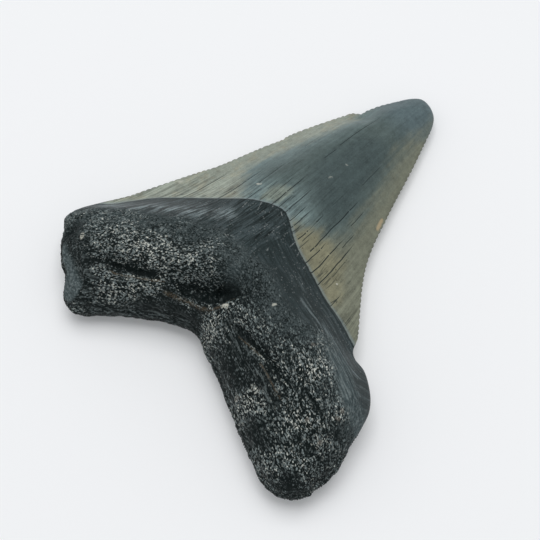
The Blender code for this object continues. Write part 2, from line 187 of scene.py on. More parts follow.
# Each crack: how far across the fan, where it starts and ends along it, and how dark it is.
CRACKS = [
    (-15.1, -9.4, 2.0, 0.8), (-10.4, -6.0, 6.5, 0.9), (-6.4, -3.8, 1.4, 0.9),
    (-8.0, 1.0, 8.2, 0.9), (-7.9, -4.4, -1.3, 0.5), (-4.5, -2.4, 0.9, 0.6),
    (-5.4, 1.0, 3.9, 0.7), (-2.5, -2.0, 8.7, 1.0), (-1.3, -1.8, 3.7, 0.8),
    (0.2, -1.6, 7.0, 1.0), (1.8, -2.4, 3.9, 0.8), (2.8, -3.0, 3.4, 0.9),
    (3.4, -3.6, 0.1, 0.7), (4.7, -3.0, 5.1, 0.9), (5.3, -2.8, 1.0, 0.7),
    (5.7, -4.6, -0.6, 0.6), (7.0, -2.9, 13.4, 1.0), (7.8, -5.6, 1.5, 0.85),
    (9.3, -6.3, 4.9, 1.0), (8.8, 6.5, 11.0, 0.7), (10.0, 2.1, 6.5, 0.7),
    (11.0, -7.2, 5.8, 1.0), (11.7, -3.4, 2.5, 0.6), (12.5, -3.6, -0.5, 0.4),
    (14.2, -8.6, -4.2, 0.7), (-9.0, 12.7, 19.3, 0.6), (-6.0, 7.6, 10.2, 0.5),
    (-3.9, 2.2, 6.3, 0.7), (-3.1, 12.3, 15.9, 0.8), (-3.4, 16.4, 29.9, 0.9),
    (0.4, 18.0, 25.0, 0.5), (2.9, 13.0, 15.5, 0.4), (5.6, 13.2, 20.6, 0.6),
    (4.6, 6.3, 11.0, 0.5), (0.2, 10.4, 15.0, 0.4), (-16.3, -6.5, -0.5, 0.4),
    (-13.0, 6.7, 10.2, 0.4), (-17.2, -9.2, -5.6, 0.4), (-13.4, -5.0, -2.5, 0.5),
    (-9.4, -3.6, 0.3, 0.5), (3.8, -0.9, 1.8, 0.5), (9.0, -3.3, -1.0, 0.5),
    (4.9, -0.4, 2.0, 0.4), (10.6, -5.4, -2.0, 0.5), (5.7, 10.0, 13.3, 0.4),
    (8.4, 5.7, 8.2, 0.5),
]
CRACK_HALF_WIDTH = 0.13
CRACK_WANDER = 0.08
CRACK_WANDER_SIZE = 1.7
# The share of each crack over which it dies away, and how far it stays from the rim and the chevron.
CRACK_FADE = 0.35
CRACK_RIM_GAP = 0.8
CRACK_CHEVRON_GAP = 0.02

# Where the tan of the left margin gives way to blue-grey, and that of the right side.
LEFT_TAN_LINE = [
    (-7.6, -7.0), (-9.6, -3.6), (-11.6, -1.2), (-13.9, 1.6), (-14.9, 4.5), (-14.3, 7.5),
    (-12.9, 10.3), (-11.6, 14.4), (-10.0, 18.0), (-8.9, 22.0), (-8.6, 25.0), (-9.4, 30.0),
]
RIGHT_TAN_LINE = [
    (2.6, 36.5), (2.8, 32.0), (2.4, 28.0), (2.6, 25.5), (3.2, 22.5), (4.0, 19.4), (5.1, 14.5),
    (6.3, 9.5), (6.8, 5.2), (5.6, 2.2), (3.4, 0.9), (1.4, -0.4), (-0.4, -3.0), (-1.4, -6.0),
]
# The yellower patches against the chevron.
OLIVE_PATCH = [
    (1.0, -2.4), (3.4, -3.9), (6.5, -5.0), (10.0, -6.1), (13.0, -6.9), (13.2, -4.6),
    (10.8, -1.2), (9.0, 1.0), (6.6, 0.9), (4.6, 0.7), (2.6, -0.6),
]
# The darkest part of the blade, down its middle.
DARK_CORE = [
    (0.9, 21.6), (-2.0, 21.6), (-4.0, 18.6), (-4.5, 13.5), (-4.1, 9.1), (-1.7, 5.5), (1.6, 3.9),
    (3.5, 5.5), (3.8, 9.1), (2.7, 13.5), (1.6, 19.7),
]
# A small olive patch just past the chevron's peak.
APEX_PATCH = [
    (-7.0, -1.6), (-4.6, -1.0), (-3.2, 0.2), (-3.8, 2.6), (-5.0, 3.6), (-6.4, 2.4), (-7.4, 0.4),
]

# Small pale flecks stuck to the surface: across, along, half length, half width, turn, paleness.
FLECKS = [
    (-9.6, 1.1, 0.5, 0.15, 15, 0.65), (-1.3, 9.8, 0.34, 0.1, 70, 0.3),
    (-1.1, 13.9, 0.26, 0.1, 10, 0.3), (11.3, -2.9, 0.13, 0.13, 0, 0.8),
    (-22.2, -5.2, 0.45, 0.22, 60, 0.5), (-23.6, -26.3, 0.6, 0.34, 120, 0.7),
    (3.3, -20.8, 0.5, 0.36, 30, 0.9), (9.3, -16.0, 0.42, 0.2, 75, 0.7),
    (15.5, -27.6, 0.85, 0.3, -15, 0.4),
]
# The rings of points of each fleck: reach, how many points, and share of its paleness.
FLECK_RINGS = [(0.0, 1, 1.0), (0.8, 8, 1.0), (1.5, 10, 0.0)]
# The ochre scar on the right cutting edge.
EDGE_SCAR = [(9.3, 10.2), (9.1, 11.4), (8.5, 12.9), (8.1, 12.8), (8.3, 11.6), (8.8, 10.3)]

# Short pale scratches in the bourlette: from across, along to across, along.
SCRATCHES = [
    (-7.5, -5.5, -7.8, -3.4), (-5.3, -3.8, -5.9, -2.2), (-3.9, -1.9, -4.1, -1.2),
    (-2.2, -1.6, -1.3, -2.2), (1.1, -4.8, 1.3, -3.5), (3.2, -5.6, 3.0, -3.8),
    (4.9, -5.7, 4.5, -4.6), (6.9, -6.6, 6.7, -5.7), (-0.2, -6.3, -0.5, -5.0),
    (-0.5, -4.6, -0.4, -3.9), (-1.9, -6.2, -1.9, -5.1), (1.8, -9.4, 1.5, -8.8),
    (-9.6, -8.6, -9.2, -7.8), (8.8, -8.9, 8.6, -8.5), (12.2, -9.1, 11.8, -8.6),
    (-10.6, -8.9, -10.2, -6.4), (-13.2, -9.4, -13.0, -7.4),
]
SCRATCH_HALF_WIDTH = 0.13

# Painted highlights where the bourlette's streaks catch the light: the middle line, half width and
# strength.
SHEEN_LINES = [
    ([(-26.3, -17.9), (-22.0, -16.6), (-19.5, -14.9), (-16.9, -13.9), (-14.7, -12.5), (-12.3, -11.2),
      (-9.9, -9.6), (-8.2, -7.9)], 1.4, 0.8),
    ([(10.9, -11.1), (12.7, -11.7), (15.1, -11.9), (18.1, -12.3), (21.5, -13.4), (24.2, -13.9),
      (26.4, -14.9)], 0.4, 0.42),
    ([(7.3, -8.0), (9.6, -9.5), (12.0, -10.7), (14.4, -11.4)], 0.25, 0.2),
]

# Narrow slits and creases in the bone, finer than the solid carries.
SLITS = [
    Groove([(-21.9, -29.2), (-20.2, -28.6), (-18.5, -27.7), (-16.9, -27.0), (-15.1, -26.3)],
           0.16, 0.35, 0.12),
    Groove([(-15.6, -26.4), (-13.1, -25.5), (-11.5, -24.8), (-9.4, -23.9)], 0.28, 0.6, 0.16),
    Groove([(5.8, -22.0), (8.6, -22.4), (10.2, -22.4), (11.9, -22.6), (14.0, -22.9)],
           0.2, 0.4, 0.15),
    Groove([(13.0, -22.8), (14.8, -23.2), (16.5, -23.6), (18.2, -23.8), (19.9, -24.2)],
           0.15, 0.25, 0.1),
    Groove([(14.7, -25.9), (17.1, -26.7), (19.1, -27.0), (20.8, -27.8)],
           0.15, 0.25, 0.1),
    Groove([(22.8, -23.2), (25.0, -23.6), (26.9, -24.4), (28.4, -25.3)], 0.14, 0.2, 0.1),
    Groove([(17.7, -23.0), (20.0, -22.4), (22.0, -21.1)], 0.1, 0.12, 0.0),
    Groove([(22.2, -24.7), (24.8, -26.2), (27.2, -27.7)], 0.16, 0.2, 0.0),
    Groove([(-13.5, -31.2), (-10.4, -29.8), (-7.6, -28.1), (-4.8, -26.4)], 0.2, 0.25, 0.1),
    Groove([(-12.8, -32.4), (-9.2, -30.3), (-5.2, -27.5), (-1.1, -25.7)], 0.2, 0.25, 0.1),
    Groove([(-26.0, -28.8), (-23.8, -30.2), (-22.4, -31.8)], 0.22, 0.35, 0.1),
    Groove([(-24.2, -28.4), (-22.2, -29.8), (-20.8, -31.2)], 0.2, 0.3, 0.1),
    Groove([(-23.0, -27.8), (-21.4, -29.4), (-19.6, -30.8), (-17.4, -31.6)], 0.2, 0.25, 0.12),
]

# The smooth grey lip above the pit.
PIT_LIP = (0.8, -16.0)
PIT_LIP_REACH = 1.4
PIT_LIP_SMOOTHNESS = 0.55
# Where the wear of the facet ends: a place on its edge, and how the edge drops across the tooth.
FACET_EDGE = (-20.0, -31.1)
FACET_EDGE_SLOPE = 0.45
# The polished band of the right lobe: how far past the bone's edge its middle is, how far from there
# it ends and is full, and where across the tooth it begins and is full.
POLISHED_BAND_MIDDLE = 0.6
POLISHED_BAND_FADE = (2.6, 1.4)
POLISHED_BAND_START = (17.0, 21.0)

# How much painted shade darkens the slits, the pit and the hollow at the left end.
SLIT_SHADE = 0.78
PIT_SHADE = 0.52
HOLLOW_SHADE = 0.62
HOLLOW_SHADE_REACH = LEFT_END_HOLLOW.radius * 1.4

# Painted shade on the stretch of bone above the left lobe's lower edge, which faces away from the lamps:
# route, half width, strength.
SHADED_BASE = [([(-9.4, -28.0), (-6.6, -26.4), (-3.4, -24.9), (-0.6, -24.0)], 1.3, 0.5)]
# Rusty brown lines on the lower lips of the grooves.
RUST_ROUTES = [
    [(-15.6, -27.7), (-12.2, -26.4), (-10.5, -25.2), (-9.1, -24.7), (-7.5, -23.6)],
    [(-6.5, -24.7), (-3.5, -23.4), (-0.8, -22.9), (1.5, -22.4), (2.9, -21.1)],
    [(1.9, -20.6), (2.9, -19.8), (3.5, -19.0)],
    [(8.3, -22.9), (9.9, -22.8), (11.5, -23.0), (12.6, -23.1)],
    [(13.8, -24.2), (15.6, -24.8), (17.7, -25.6), (19.6, -26.2)],
]
RUST_HALF_WIDTH = 0.17
RUST_LINES = [(route, RUST_HALF_WIDTH, 1.0) for route in RUST_ROUTES]

# Where the bone's crumbs are thick and pale, or thin: across, along, reach, amount.
CRUMB_ZONES = [
    (-18.8, -23.1, 3.0, 0.18), (-14.0, -21.6, 3.2, 0.29), (-9.0, -19.8, 3.0, 0.29),
    (-5.3, -16.6, 2.4, 0.18), (-14.1, -30.0, 2.0, 0.29), (-10.2, -27.3, 1.8, 0.25),
    (-8.1, -24.8, 1.2, 0.22), (6.2, -20.5, 2.2, 0.18), (8.9, -19.2, 1.8, 0.1),
    (3.0, -24.2, 1.6, 0.43), (15.4, -29.3, 2.0, 0.36), (18.2, -28.0, 1.6, 0.25),
    (20.3, -20.2, 1.8, 0.38), (18.5, -15.6, 1.4, 0.25), (21.5, -17.4, 2.2, 0.22),
    (24.4, -26.1, 1.9, 0.4), (27.8, -21.8, 1.5, 0.46), (22.9, -28.8, 1.6, 0.22),
    (28.6, -26.6, 1.1, 0.36), (6.7, -15.6, 3.0, -0.42), (11.4, -15.6, 2.6, -0.38),
    (4.4, -11.6, 3.0, -0.5), (14.7, -15.4, 2.2, -0.35), (-1.1, -13.2, 2.6, -0.4),
    (-8.3, -13.6, 2.6, -0.45), (-15.4, -17.0, 2.4, -0.4), (-22.3, -20.6, 2.2, -0.1),
    (-5.8, -25.4, 1.6, -0.3), (-8.4, -28.4, 1.6, -0.2), (-0.4, -24.6, 1.4, -0.3),
    (9.6, -26.4, 2.0, -0.35), (12.6, -27.4, 1.4, -0.35), (23.6, -31.6, 2.6, -0.15),
    (28.5, -33.8, 2.0, -0.4), (19.4, -31.6, 1.6, -0.35), (29.6, -22.4, 1.4, -0.6),
    (28.2, -29.4, 1.4, -0.15), (1.6, -16.6, 1.6, -0.35), (-26.2, -26.8, 1.8, -0.6),
    (-8.8, -17.6, 2.4, -0.25), (24.0, -33.0, 3.0, 0.2), (28.4, -31.6, 2.0, 0.3),
]
# Where long fibres show in the bone: the middle line, half width and strength of each patch.
FIBRE_BANDS = [
    ([(-20.0, -34.4), (-14.4, -32.1), (-10.4, -29.4), (-6.2, -26.8), (-2.2, -25.2)], 0.9, 1.0),
    ([(5.6, -22.4), (9.9, -24.2), (14.7, -25.6), (19.0, -27.6)], 1.0, 1.0),
    ([(-23.6, -27.6), (-20.4, -29.5), (-17.4, -31.6)], 1.4, 1.0),
]
# Small patches of a pale crust on the right lobe: across, along, reach.
CRUST_PATCHES = [
    (13.4, -29.6, 0.5), (27.6, -20.9, 0.5), (27.9, -22.3, 0.45),
    (28.4, -27.0, 0.45), (24.9, -26.0, 0.4), (17.6, -16.2, 0.4),
]

# The bourlette's streaks fan out with the cracks, but on the left arm they lean over to follow it:
# how far they lean, and where across the tooth the lean begins and is full.
STREAK_LEAN = -0.5
STREAK_LEAN_ZONE = (-12.0, -22.0)

# The strands of the bone: how far they are drawn out, and how they bend from lobe to lobe.
STRAND_STRETCH = 0.75
STRAND_SLOPE = 0.42
STRAND_TURN = -1.0
STRAND_TURN_SIZE = 5.0
# How far past the enamel the resting face is smooth before the rough bone begins.
UNDER_BONE_LAG = 1.5
# The resting face has fewer crumbs, and is far outside every patch of colour.
UNDER_CRUMBS = 0.35
FAR_OUTSIDE = -9.0

# Spacing of the fine mesh: along the rim, over both faces, along the cracks and beside them.
COARSE_RIM_STEP = 0.5
RIM_STEP = 0.2
BONE_STEP = 0.17
CROWN_STEP = 0.38
UNDER_BONE_STEP = 0.42
UNDER_CROWN_STEP = 0.8
CRACK_STEP = 0.3
MARK_CLEARANCE = 0.15
# Rings of points near the rim: on the bone they climb the rounded walls in even turns, in degrees,
# and on the crown they are this far in.
WALL_TURN = 2.4
WALL_TURN_BELOW = 4.5
BONE_WALL_END = 50.0
CROWN_RINGS = (0.14, 0.36, 0.66)
# A ring's point is left out if the rim is nearer to it than this share of the ring's distance.
CROWDED = 0.97
# What each field leaves clear beside the last ring and the enamel's edge, in shares of its step.
CLEAR_OF_RING = 0.55
CLEAR_OF_EDGE = 0.25


def smooth_path(points, step=PATH_STEP, closed=False):
    """Points about `step` apart on the smooth curve through `points`."""
    pts = np.array(points, float)
    count = len(pts)
    spans = count if closed else count - 1
    out = []
    for k in range(spans):
        if closed:
            p0, p1, p2, p3 = (pts[(k + j) % count] for j in (-1, 0, 1, 2))
        else:
            p0, p1 = pts[max(k - 1, 0)], pts[k]
            p2, p3 = pts[k + 1], pts[min(k + 2, count - 1)]
        pieces = max(1, round(np.linalg.norm((p2 - p1)[:2]) / step))
        for t in np.arange(pieces) / pieces:
            bend = 2 * p0 - 5 * p1 + 4 * p2 - p3
            twist = 3 * p1 - p0 - 3 * p2 + p3
            out.append(p1 + 0.5 * t * ((p2 - p0) + t * (bend + t * twist)))
    if not closed:
        out.append(pts[-1])
    return np.array(out)


def smoothstep(low, high, x):
    t = np.clip((x - low) / (high - low), 0.0, 1.0)
    return t * t * (3 - 2 * t)


def nearest_index(points, xy):
    """The index of the point that is nearest to each place."""
    tree = kdtree.KDTree(len(points))
    for k, point in enumerate(points):
        tree.insert((point[0], point[1], 0.0), k)
    tree.balance()
    return np.array([tree.find((x, y, 0.0))[1] for x, y in xy.tolist()])


def nearest_on(path, xy, closed=False):
    """Distance to a path, the place along it as a real index, and the side (+ is left)."""
    points = path[:, :2]
    count = len(points)
    spans = count if closed else count - 1
    near = nearest_index(points, xy)
    dist2 = np.full(len(xy), np.inf)
    place = np.zeros(len(xy))
    side = np.zeros(len(xy))
    for back in (1, 0):
        first = (near - back) % count if closed else np.clip(near - back, 0, spans - 1)
        start = points[first]
        run = points[(first + 1) % count] - start
        gap = xy - start
        t = np.clip((gap * run).sum(1) / (run ** 2).sum(1), 0.0, 1.0)
        away = ((gap - t[:, None] * run) ** 2).sum(1)
        closer = away < dist2
        dist2[closer] = away[closer]
        place[closer] = (first + t)[closer]
        side[closer] = np.sign(run[:, 0] * gap[:, 1] - run[:, 1] * gap[:, 0])[closer]
    return np.sqrt(dist2), place, side


def thin_plate(spots):
    """The smoothest height field through the spot heights."""
    xy = np.array([s[:2] for s in spots])
    z = np.array([s[2] for s in spots])

    def kernel(a, b):
        r2 = ((a[:, None] - b[None]) ** 2).sum(2)
        return r2 * np.log(r2 + 1e-9)

    def plane(a):
        return np.column_stack([np.ones(len(a)), a])

    count = len(xy)
    system = np.zeros((count + 3, count + 3))
    system[:count, :count] = kernel(xy, xy)
    system[:count, count:] = plane(xy)
    system[count:, :count] = plane(xy).T
    weights = np.linalg.solve(system, np.append(z, [0, 0, 0]))
    return lambda a: kernel(a, xy) @ weights[:count] + plane(a) @ weights[count:]


COARSE_RIM = smooth_path(OUTLINE, COARSE_RIM_STEP, closed=True)
RIM = smooth_path(OUTLINE, RIM_STEP, closed=True)
CHEVRON_LINE = smooth_path(CHEVRON)
BONE_LINE = smooth_path(BONE_EDGE)
UNDER_ENAMEL_LINE = smooth_path(UNDER_ENAMEL_EDGE)
LEFT_TAN_PATH = smooth_path(LEFT_TAN_LINE)
RIGHT_TAN_PATH = smooth_path(RIGHT_TAN_LINE)
SHOWN_HEIGHT = thin_plate(SPOT_HEIGHTS)


def from_rim(xy):
    """Distance from the rim, the place along it, and the side (+ is inside)."""
    return nearest_on(COARSE_RIM, xy, closed=True)


def rim_height(place):
    """Height of the rim at a place along it."""
    low = np.floor(place).astype(int)
    part = place - low
    heights = COARSE_RIM[:, 2]
    count = len(COARSE_RIM)
    return heights[low % count] * (1 - part) + heights[(low + 1) % count] * part


def left_of(line, xy):
    """Signed distance from a line: positive on the left of the way it runs."""
    dist, _, side = nearest_on(line, xy)
    return dist * side


def below(line, xy):
    """Signed distance from a line that runs left to right: positive towards the root."""
    return -left_of(line, xy)


def inside(outline, xy):
    """Signed distance from a closed outline: positive inside it."""
    path = smooth_path(outline, closed=True)[:, :2]
    dist, _, _ = nearest_on(path, xy, closed=True)
    start, end = path[:, None], np.roll(path, -1, axis=0)[:, None]
    spans = (start[..., 1] > xy[:, 1]) != (end[..., 1] > xy[:, 1])
    slope = (end[..., 0] - start[..., 0]) / np.where(spans, end[..., 1] - start[..., 1], 1.0)
    crossing = start[..., 0] + (xy[:, 1] - start[..., 1]) * slope
    crossings = (spans & (crossing > xy[:, 0])).sum(0)
    return dist * np.where(crossings % 2, 1.0, -1.0)


def rootness(xy):
    """0 on the crown and 1 on the rough bone, changing across the bourlette."""
    past_chevron = below(CHEVRON_LINE, xy)
    width = np.maximum(past_chevron - below(BONE_LINE, xy), 1.0)
    return smoothstep(-0.45, 1.1, past_chevron / width)


def root_profile(u):
    """A quarter round."""
    return np.sqrt(1 - (1 - np.clip(u, 0, 1)) ** 2)


def crown_profile(u):
    """A blade: thin flat margins, then a full body."""
    u = np.clip(u, 0, 1)
    return 0.6 * u * (2 - u) + 0.4 * smoothstep(0.05, 0.95, u)


def crown_reach(xy):
    """How far in from the cutting edge the blade reaches its full thickness."""
    return CROWN_REACH_AT_TIP + CROWN_REACH_GROWTH * (TIP_ALONG - xy[:, 1])


def lumps(xy):
    """The root's uneven swelling, the same each time."""
    heights = np.zeros(len(xy))
    for half_height, size in LUMPS:
        heights += [half_height * noise.noise(Vector((x / size, y / size, size)))
                    for x, y in xy]
    return heights


def hollow_depth(hollow, xy):
    """A round dent, deepest at its centre."""
    gap2 = ((xy - np.array(hollow.centre)) ** 2).sum(1)
    return hollow.depth * np.exp(-gap2 / hollow.radius ** 2)


def groove_depth(groove, xy):
    """Deepest at the middle of the route, with a lip that rises on its left-hand side."""
    path = smooth_path(groove.route)
    dist, place, side = nearest_on(path, xy)
    swell = 0.55 + 0.45 * np.sin(math.pi * place / (len(path) - 1))
    cut = groove.depth * np.exp(-(dist / groove.half_width) ** 2)
    beyond = (dist * side / groove.half_width - LIP_PLACE) / LIP_WIDTH
    return swell * (cut - groove.lip * np.exp(-beyond ** 2))


def facet_height(xy):
    """Height of the plane of the worn facet."""
    slope = (xy - FACET_POINT[:2]) @ np.array(FACET_NORMAL[:2])
    return FACET_POINT[2] - slope / FACET_NORMAL[2]


def shown_face(xy):
    """Height of the shown (lingual) face."""
    dist, place, _ = from_rim(xy)
    rim = rim_height(place)
    past_chevron = below(CHEVRON_LINE, xy)
    past_bone_edge = below(BONE_LINE, xy)
    root = rootness(xy)
    tipness = smoothstep(TIP_ROUNDING_STARTS, TIP_ALONG, xy[:, 1])
    crown = crown_profile(dist / crown_reach(xy))
    crown = crown * (1 - tipness) + root_profile(dist / TIP_ROUNDING) * tipness
    rise = crown * (1 - root) + root_profile(dist / ROOT_ROUNDING_ABOVE) * root
    height = rim + (SHOWN_HEIGHT(xy) - rim) * rise
    height += smoothstep(0.0, RELIEF_FADE, dist) * (
        BOURLETTE_STEP * smoothstep(-STEP_HALF_WIDTH, STEP_HALF_WIDTH, past_chevron)
        + BONE_RISE * smoothstep(-1.0, 1.0, past_bone_edge)
        + lumps(xy) * smoothstep(-4.0, 1.0, past_bone_edge))
    cuts = [groove_depth(groove, xy) for groove in GROOVES + SLITS]
    cuts += [hollow_depth(hollow, xy) for hollow in HOLLOWS + [PIT_BRIDGE]]
    cuts += [PIT_STEP * smoothstep(0.0, PIT_WALL, inside(PIT_EDGE, xy))]
    height -= sum(cuts) * smoothstep(0.0, CUT_FADE, dist)
    return np.minimum(height, np.maximum(facet_height(xy), rim))


def resting_face(xy):
    """Height of the resting (labial) face, cut flat where it touches down."""
    dist, place, _ = from_rim(xy)
    rim = rim_height(place)
    root = rootness(xy)
    crown = crown_profile(dist / (UNDER_CROWN_REACH * crown_reach(xy)))
    drop = crown * (1 - root) + root_profile(dist / ROOT_ROUNDING_BELOW) * root
    height = rim * (1 - drop)
    height += hollow_depth(UNDER_HOLLOW, xy)
    return np.maximum(height - UNDER_FLAT * drop, 0.0)


# ---------------------------------------------------------------- the points of the fine mesh


def inward_normals(path):
    """The directions that lead in from a closed path, which runs anticlockwise."""
    run = np.roll(path[:, :2], -1, axis=0) - np.roll(path[:, :2], 1, axis=0)
    run /= np.linalg.norm(run, axis=1)[:, None]
    return np.column_stack([-run[:, 1], run[:, 0]])


def hex_grid(step):
    """An even field of points over the tooth's box, each row half a step off the last."""
    low, high = RIM[:, :2].min(0), RIM[:, :2].max(0)
    rows = []
    row_gap = step * math.sqrt(0.75)
    for k, y in enumerate(np.arange(low[1], high[1], row_gap)):
        x = np.arange(low[0] + 0.5 * step * (k % 2), high[0], step)
        rows.append(np.column_stack([x, np.full(len(x), y)]))
    return np.concatenate(rows)


def ring(rim, inset):
    """Points at one distance in from the rim, without those that crowd a corner."""
    xy = rim[:, :2] + inward_normals(rim) * inset
    dist, _, side = nearest_on(RIM, xy, closed=True)
    return xy[(dist > CROWDED * inset) & (side > 0)]


def wall_insets(rounding, turn):
    """Ring distances that climb a quarter round in even steps."""
    angles = np.radians(np.arange(turn, BONE_WALL_END, turn))
    return rounding * (1 - np.cos(angles))


def fields(enamel_line, wall, steps, rims):
    """Rings along the rim and even fields inside them, first on the bone, then on the enamel."""
    groups = []
    for insets, step, rim, sign in zip((wall, CROWN_RINGS), steps, rims, (1, -1)):
        rings = np.concatenate([ring(rim, inset) for inset in insets])
        groups.append(rings[sign * below(enamel_line, rings) > 0])
        xy = hex_grid(step)
        xy = xy[sign * below(enamel_line, xy) > CLEAR_OF_EDGE * step]
        dist, _, side = from_rim(xy)
        groups.append(xy[(side > 0) & (dist > insets[-1] + CLEAR_OF_RING * step)])
    return np.concatenate(groups)


def inside_rim(xy):
    """Signed distance from the rim: positive inside it."""
    dist, _, side = from_rim(xy)
    return dist * side


def on_fan(across, along):
    """The place on the tooth of a place on the fan of cracks."""
    reach = FAN_CENTRE[1] - along
    turn = across / FAN_CENTRE[1]
    return np.column_stack([FAN_CENTRE[0] + reach * np.sin(turn), FAN_CENTRE[1] - reach * np.cos(turn)])


def fan_places(xy):
    """How far across and along the fan of cracks each point is."""
    gap = np.array(FAN_CENTRE) - xy
    reach = np.linalg.norm(gap, axis=1)
    return FAN_CENTRE[1] * np.arctan2(-gap[:, 0], gap[:, 1]), FAN_CENTRE[1] - reach


def three_rows(middle, offset):
    """Points along a hairline, with a row on each side of it."""
    return np.concatenate([middle - offset, middle, middle + offset])


def crack_rows():
    """Three rows of points along each crack, and how dark the crack is at each."""
    points, darkness = [], []
    for number, (across, start, end, strength) in enumerate(CRACKS):
        along = np.arange(start, end, CRACK_STEP)
        wander = np.array([CRACK_WANDER * noise.noise(Vector((y / CRACK_WANDER_SIZE, number, 0.5)))
                           for y in along])
        middle = on_fan(across + wander, along)
        points.append(three_rows(middle, on_fan(across + wander + CRACK_HALF_WIDTH, along) - middle))
        fade = strength * np.minimum(1.0, (end - along) / (CRACK_FADE * (end - start)))
        darkness.append(np.concatenate([0 * fade, fade, 0 * fade]))
    return np.concatenate(points), np.concatenate(darkness)


def scratch_rows():
    """Three rows of points along each scratch, and how pale the scratch is at each."""
    points, paleness = [], []
    for x0, y0, x1, y1 in SCRATCHES:
        run = np.array([x1 - x0, y1 - y0])
        length = np.linalg.norm(run)
        part = np.linspace(0, 1, max(3, round(length / CRACK_STEP)))
        side = np.array([-run[1], run[0]]) / length * SCRATCH_HALF_WIDTH
        points.append(three_rows(np.array([x0, y0]) + part[:, None] * run, side))
        fade = np.sin(math.pi * (0.15 + 0.7 * part))
        paleness.append(np.concatenate([0 * fade, fade, 0 * fade]))
    return np.concatenate(points), np.concatenate(paleness)


def fleck_discs():
    """A centre and two rings of points for each fleck, and how pale it is at each."""
    points, paleness = [], []
    for x, y, half_length, half_width, lean, strength in FLECKS:
        lean = math.radians(lean)
        along = np.array([math.cos(lean), math.sin(lean)]) * half_length
        beside = np.array([-math.sin(lean), math.cos(lean)]) * half_width
        for reach, count, share in FLECK_RINGS:
            turn = (np.arange(count) * math.tau / count)[:, None]
            uneven = reach * (1 + 0.2 * np.sin(3 * turn + y))
            points.append((x, y) + uneven * (np.cos(turn) * along + np.sin(turn) * beside))
            paleness.append(np.full(count, share * strength))
    return np.concatenate(points), np.concatenate(paleness)


def marks():
    """The extra points that carry cracks, scratches and flecks, and their values."""
    flecks, paleness = fleck_discs()
    scratches, glint = scratch_rows()
    cracks, darkness = crack_rows()
    keep = inside_rim(cracks) > CRACK_RIM_GAP
    keep &= below(CHEVRON_LINE, cracks) < -CRACK_CHEVRON_GAP
    cracks, darkness = cracks[keep], darkness[keep]
    points = flecks
    values = {"fleck": paleness, "scratch": 0 * paleness, "crack": 0 * paleness}
    for name, rows, amount in (("scratch", scratches, glint), ("crack", cracks, darkness)):
        keep = far_from(rows, points, MARK_CLEARANCE)
        points = np.concatenate([points, rows[keep]])
        for other in values:
            values[other] = np.append(values[other], amount[keep] * (other == name))
    return points, values


def far_from(points, others, gap):
    """Which points are more than `gap` from every one of the others."""
    return np.linalg.norm(points - others[nearest_index(others, points)], axis=1) > gap


def plan(rim, points):
    """Triangles over the whole outline, whose first points are the rim's."""
    verts = [Vector(p) for p in np.concatenate([rim[:, :2], points])]
    edges = [(k, (k + 1) % len(rim)) for k in range(len(rim))]
    xy, _, faces, *_ = delaunay_2d_cdt(verts, edges, [], 1, 1e-6)
    if len(xy) != len(verts):
        raise RuntimeError("two points of the plan coincide")
    return np.array(xy), faces


# ---------------------------------------------------------------- what each point carries


def strands(xy, height):
    """Places in the bone, drawn out along both lobes, where its strands run."""
    bend = STRAND_SLOPE * np.hypot(xy[:, 0] - STRAND_TURN, STRAND_TURN_SIZE)
    return np.column_stack([STRAND_STRETCH * xy[:, 0], xy[:, 1] + bend, height])


def near_line(route, half_width, xy):
    """1 on a line through some places, dying away on both sides."""
    dist, _, _ = nearest_on(smooth_path(route), xy)
    return np.exp(-(dist / half_width) ** 2)


def strongest(lines, xy):
    """The strongest at each point of some lines, each with its half width and strength."""
    return np.max([strength * near_line(route, half_width, xy)
                   for route, half_width, strength in lines], axis=0)


def patches(spots, xy):
    """1 in the middle of each round patch."""
    return np.max([near_spot((x, y), reach, xy) for x, y, reach in spots], axis=0)


def near_spot(centre, reach, xy):
    """1 at a place, dying away to its reach."""
    return np.exp(-((xy - np.array(centre)) ** 2).sum(1) / reach ** 2)


def painted_shade(xy):
    """Painted shade: how dark the bone is made in the pit, the slits, the hollow at the left end and the
    stretch above the left lobe's lower edge.
    """
    lines = [(slit.route, slit.half_width, SLIT_SHADE) for slit in SLITS]
    pit = PIT_SHADE * smoothstep(-0.1, 0.7, inside(PIT_EDGE, xy))
    hollow = HOLLOW_SHADE * near_spot(LEFT_END_HOLLOW.centre, HOLLOW_SHADE_REACH, xy)
    return np.max([strongest(lines + SHADED_BASE, xy), pit, hollow], axis=0)


def crumbs(xy):
    """How thick and pale the crumbs of the bone are: 0.5 where no zone changes it."""
    amounts = [amount * near_spot((x, y), reach, xy) for x, y, reach, amount in CRUMB_ZONES]
    return 0.5 + np.sum(amounts, axis=0)


def worn(xy):
    """1 on the flat facet, on the polished side of the right lobe and partly on the pit's upper lip."""
    on_facet = smoothstep(0.35, -0.05, facet_height(xy) - shown_face(xy))
    outside_edge = xy[:, 1] - FACET_EDGE[1] + FACET_EDGE_SLOPE * (xy[:, 0] - FACET_EDGE[0])
    facet = on_facet * smoothstep(0.5, -0.5, outside_edge)
    from_band = np.abs(below(BONE_LINE, xy) - POLISHED_BAND_MIDDLE)
    band = smoothstep(*POLISHED_BAND_FADE, from_band) * smoothstep(*POLISHED_BAND_START, xy[:, 0])
    lip = PIT_LIP_SMOOTHNESS * near_spot(PIT_LIP, PIT_LIP_REACH, xy)
    return np.max([facet, band, lip], axis=0)


def streak_place(xy):
    """A coordinate that is the same all along each streak of the bourlette."""
    across, _ = fan_places(xy)
    lean = STREAK_LEAN * smoothstep(*STREAK_LEAN_ZONE, across)
    return (across - lean * below(CHEVRON_LINE, xy)) / np.hypot(1.0, lean)


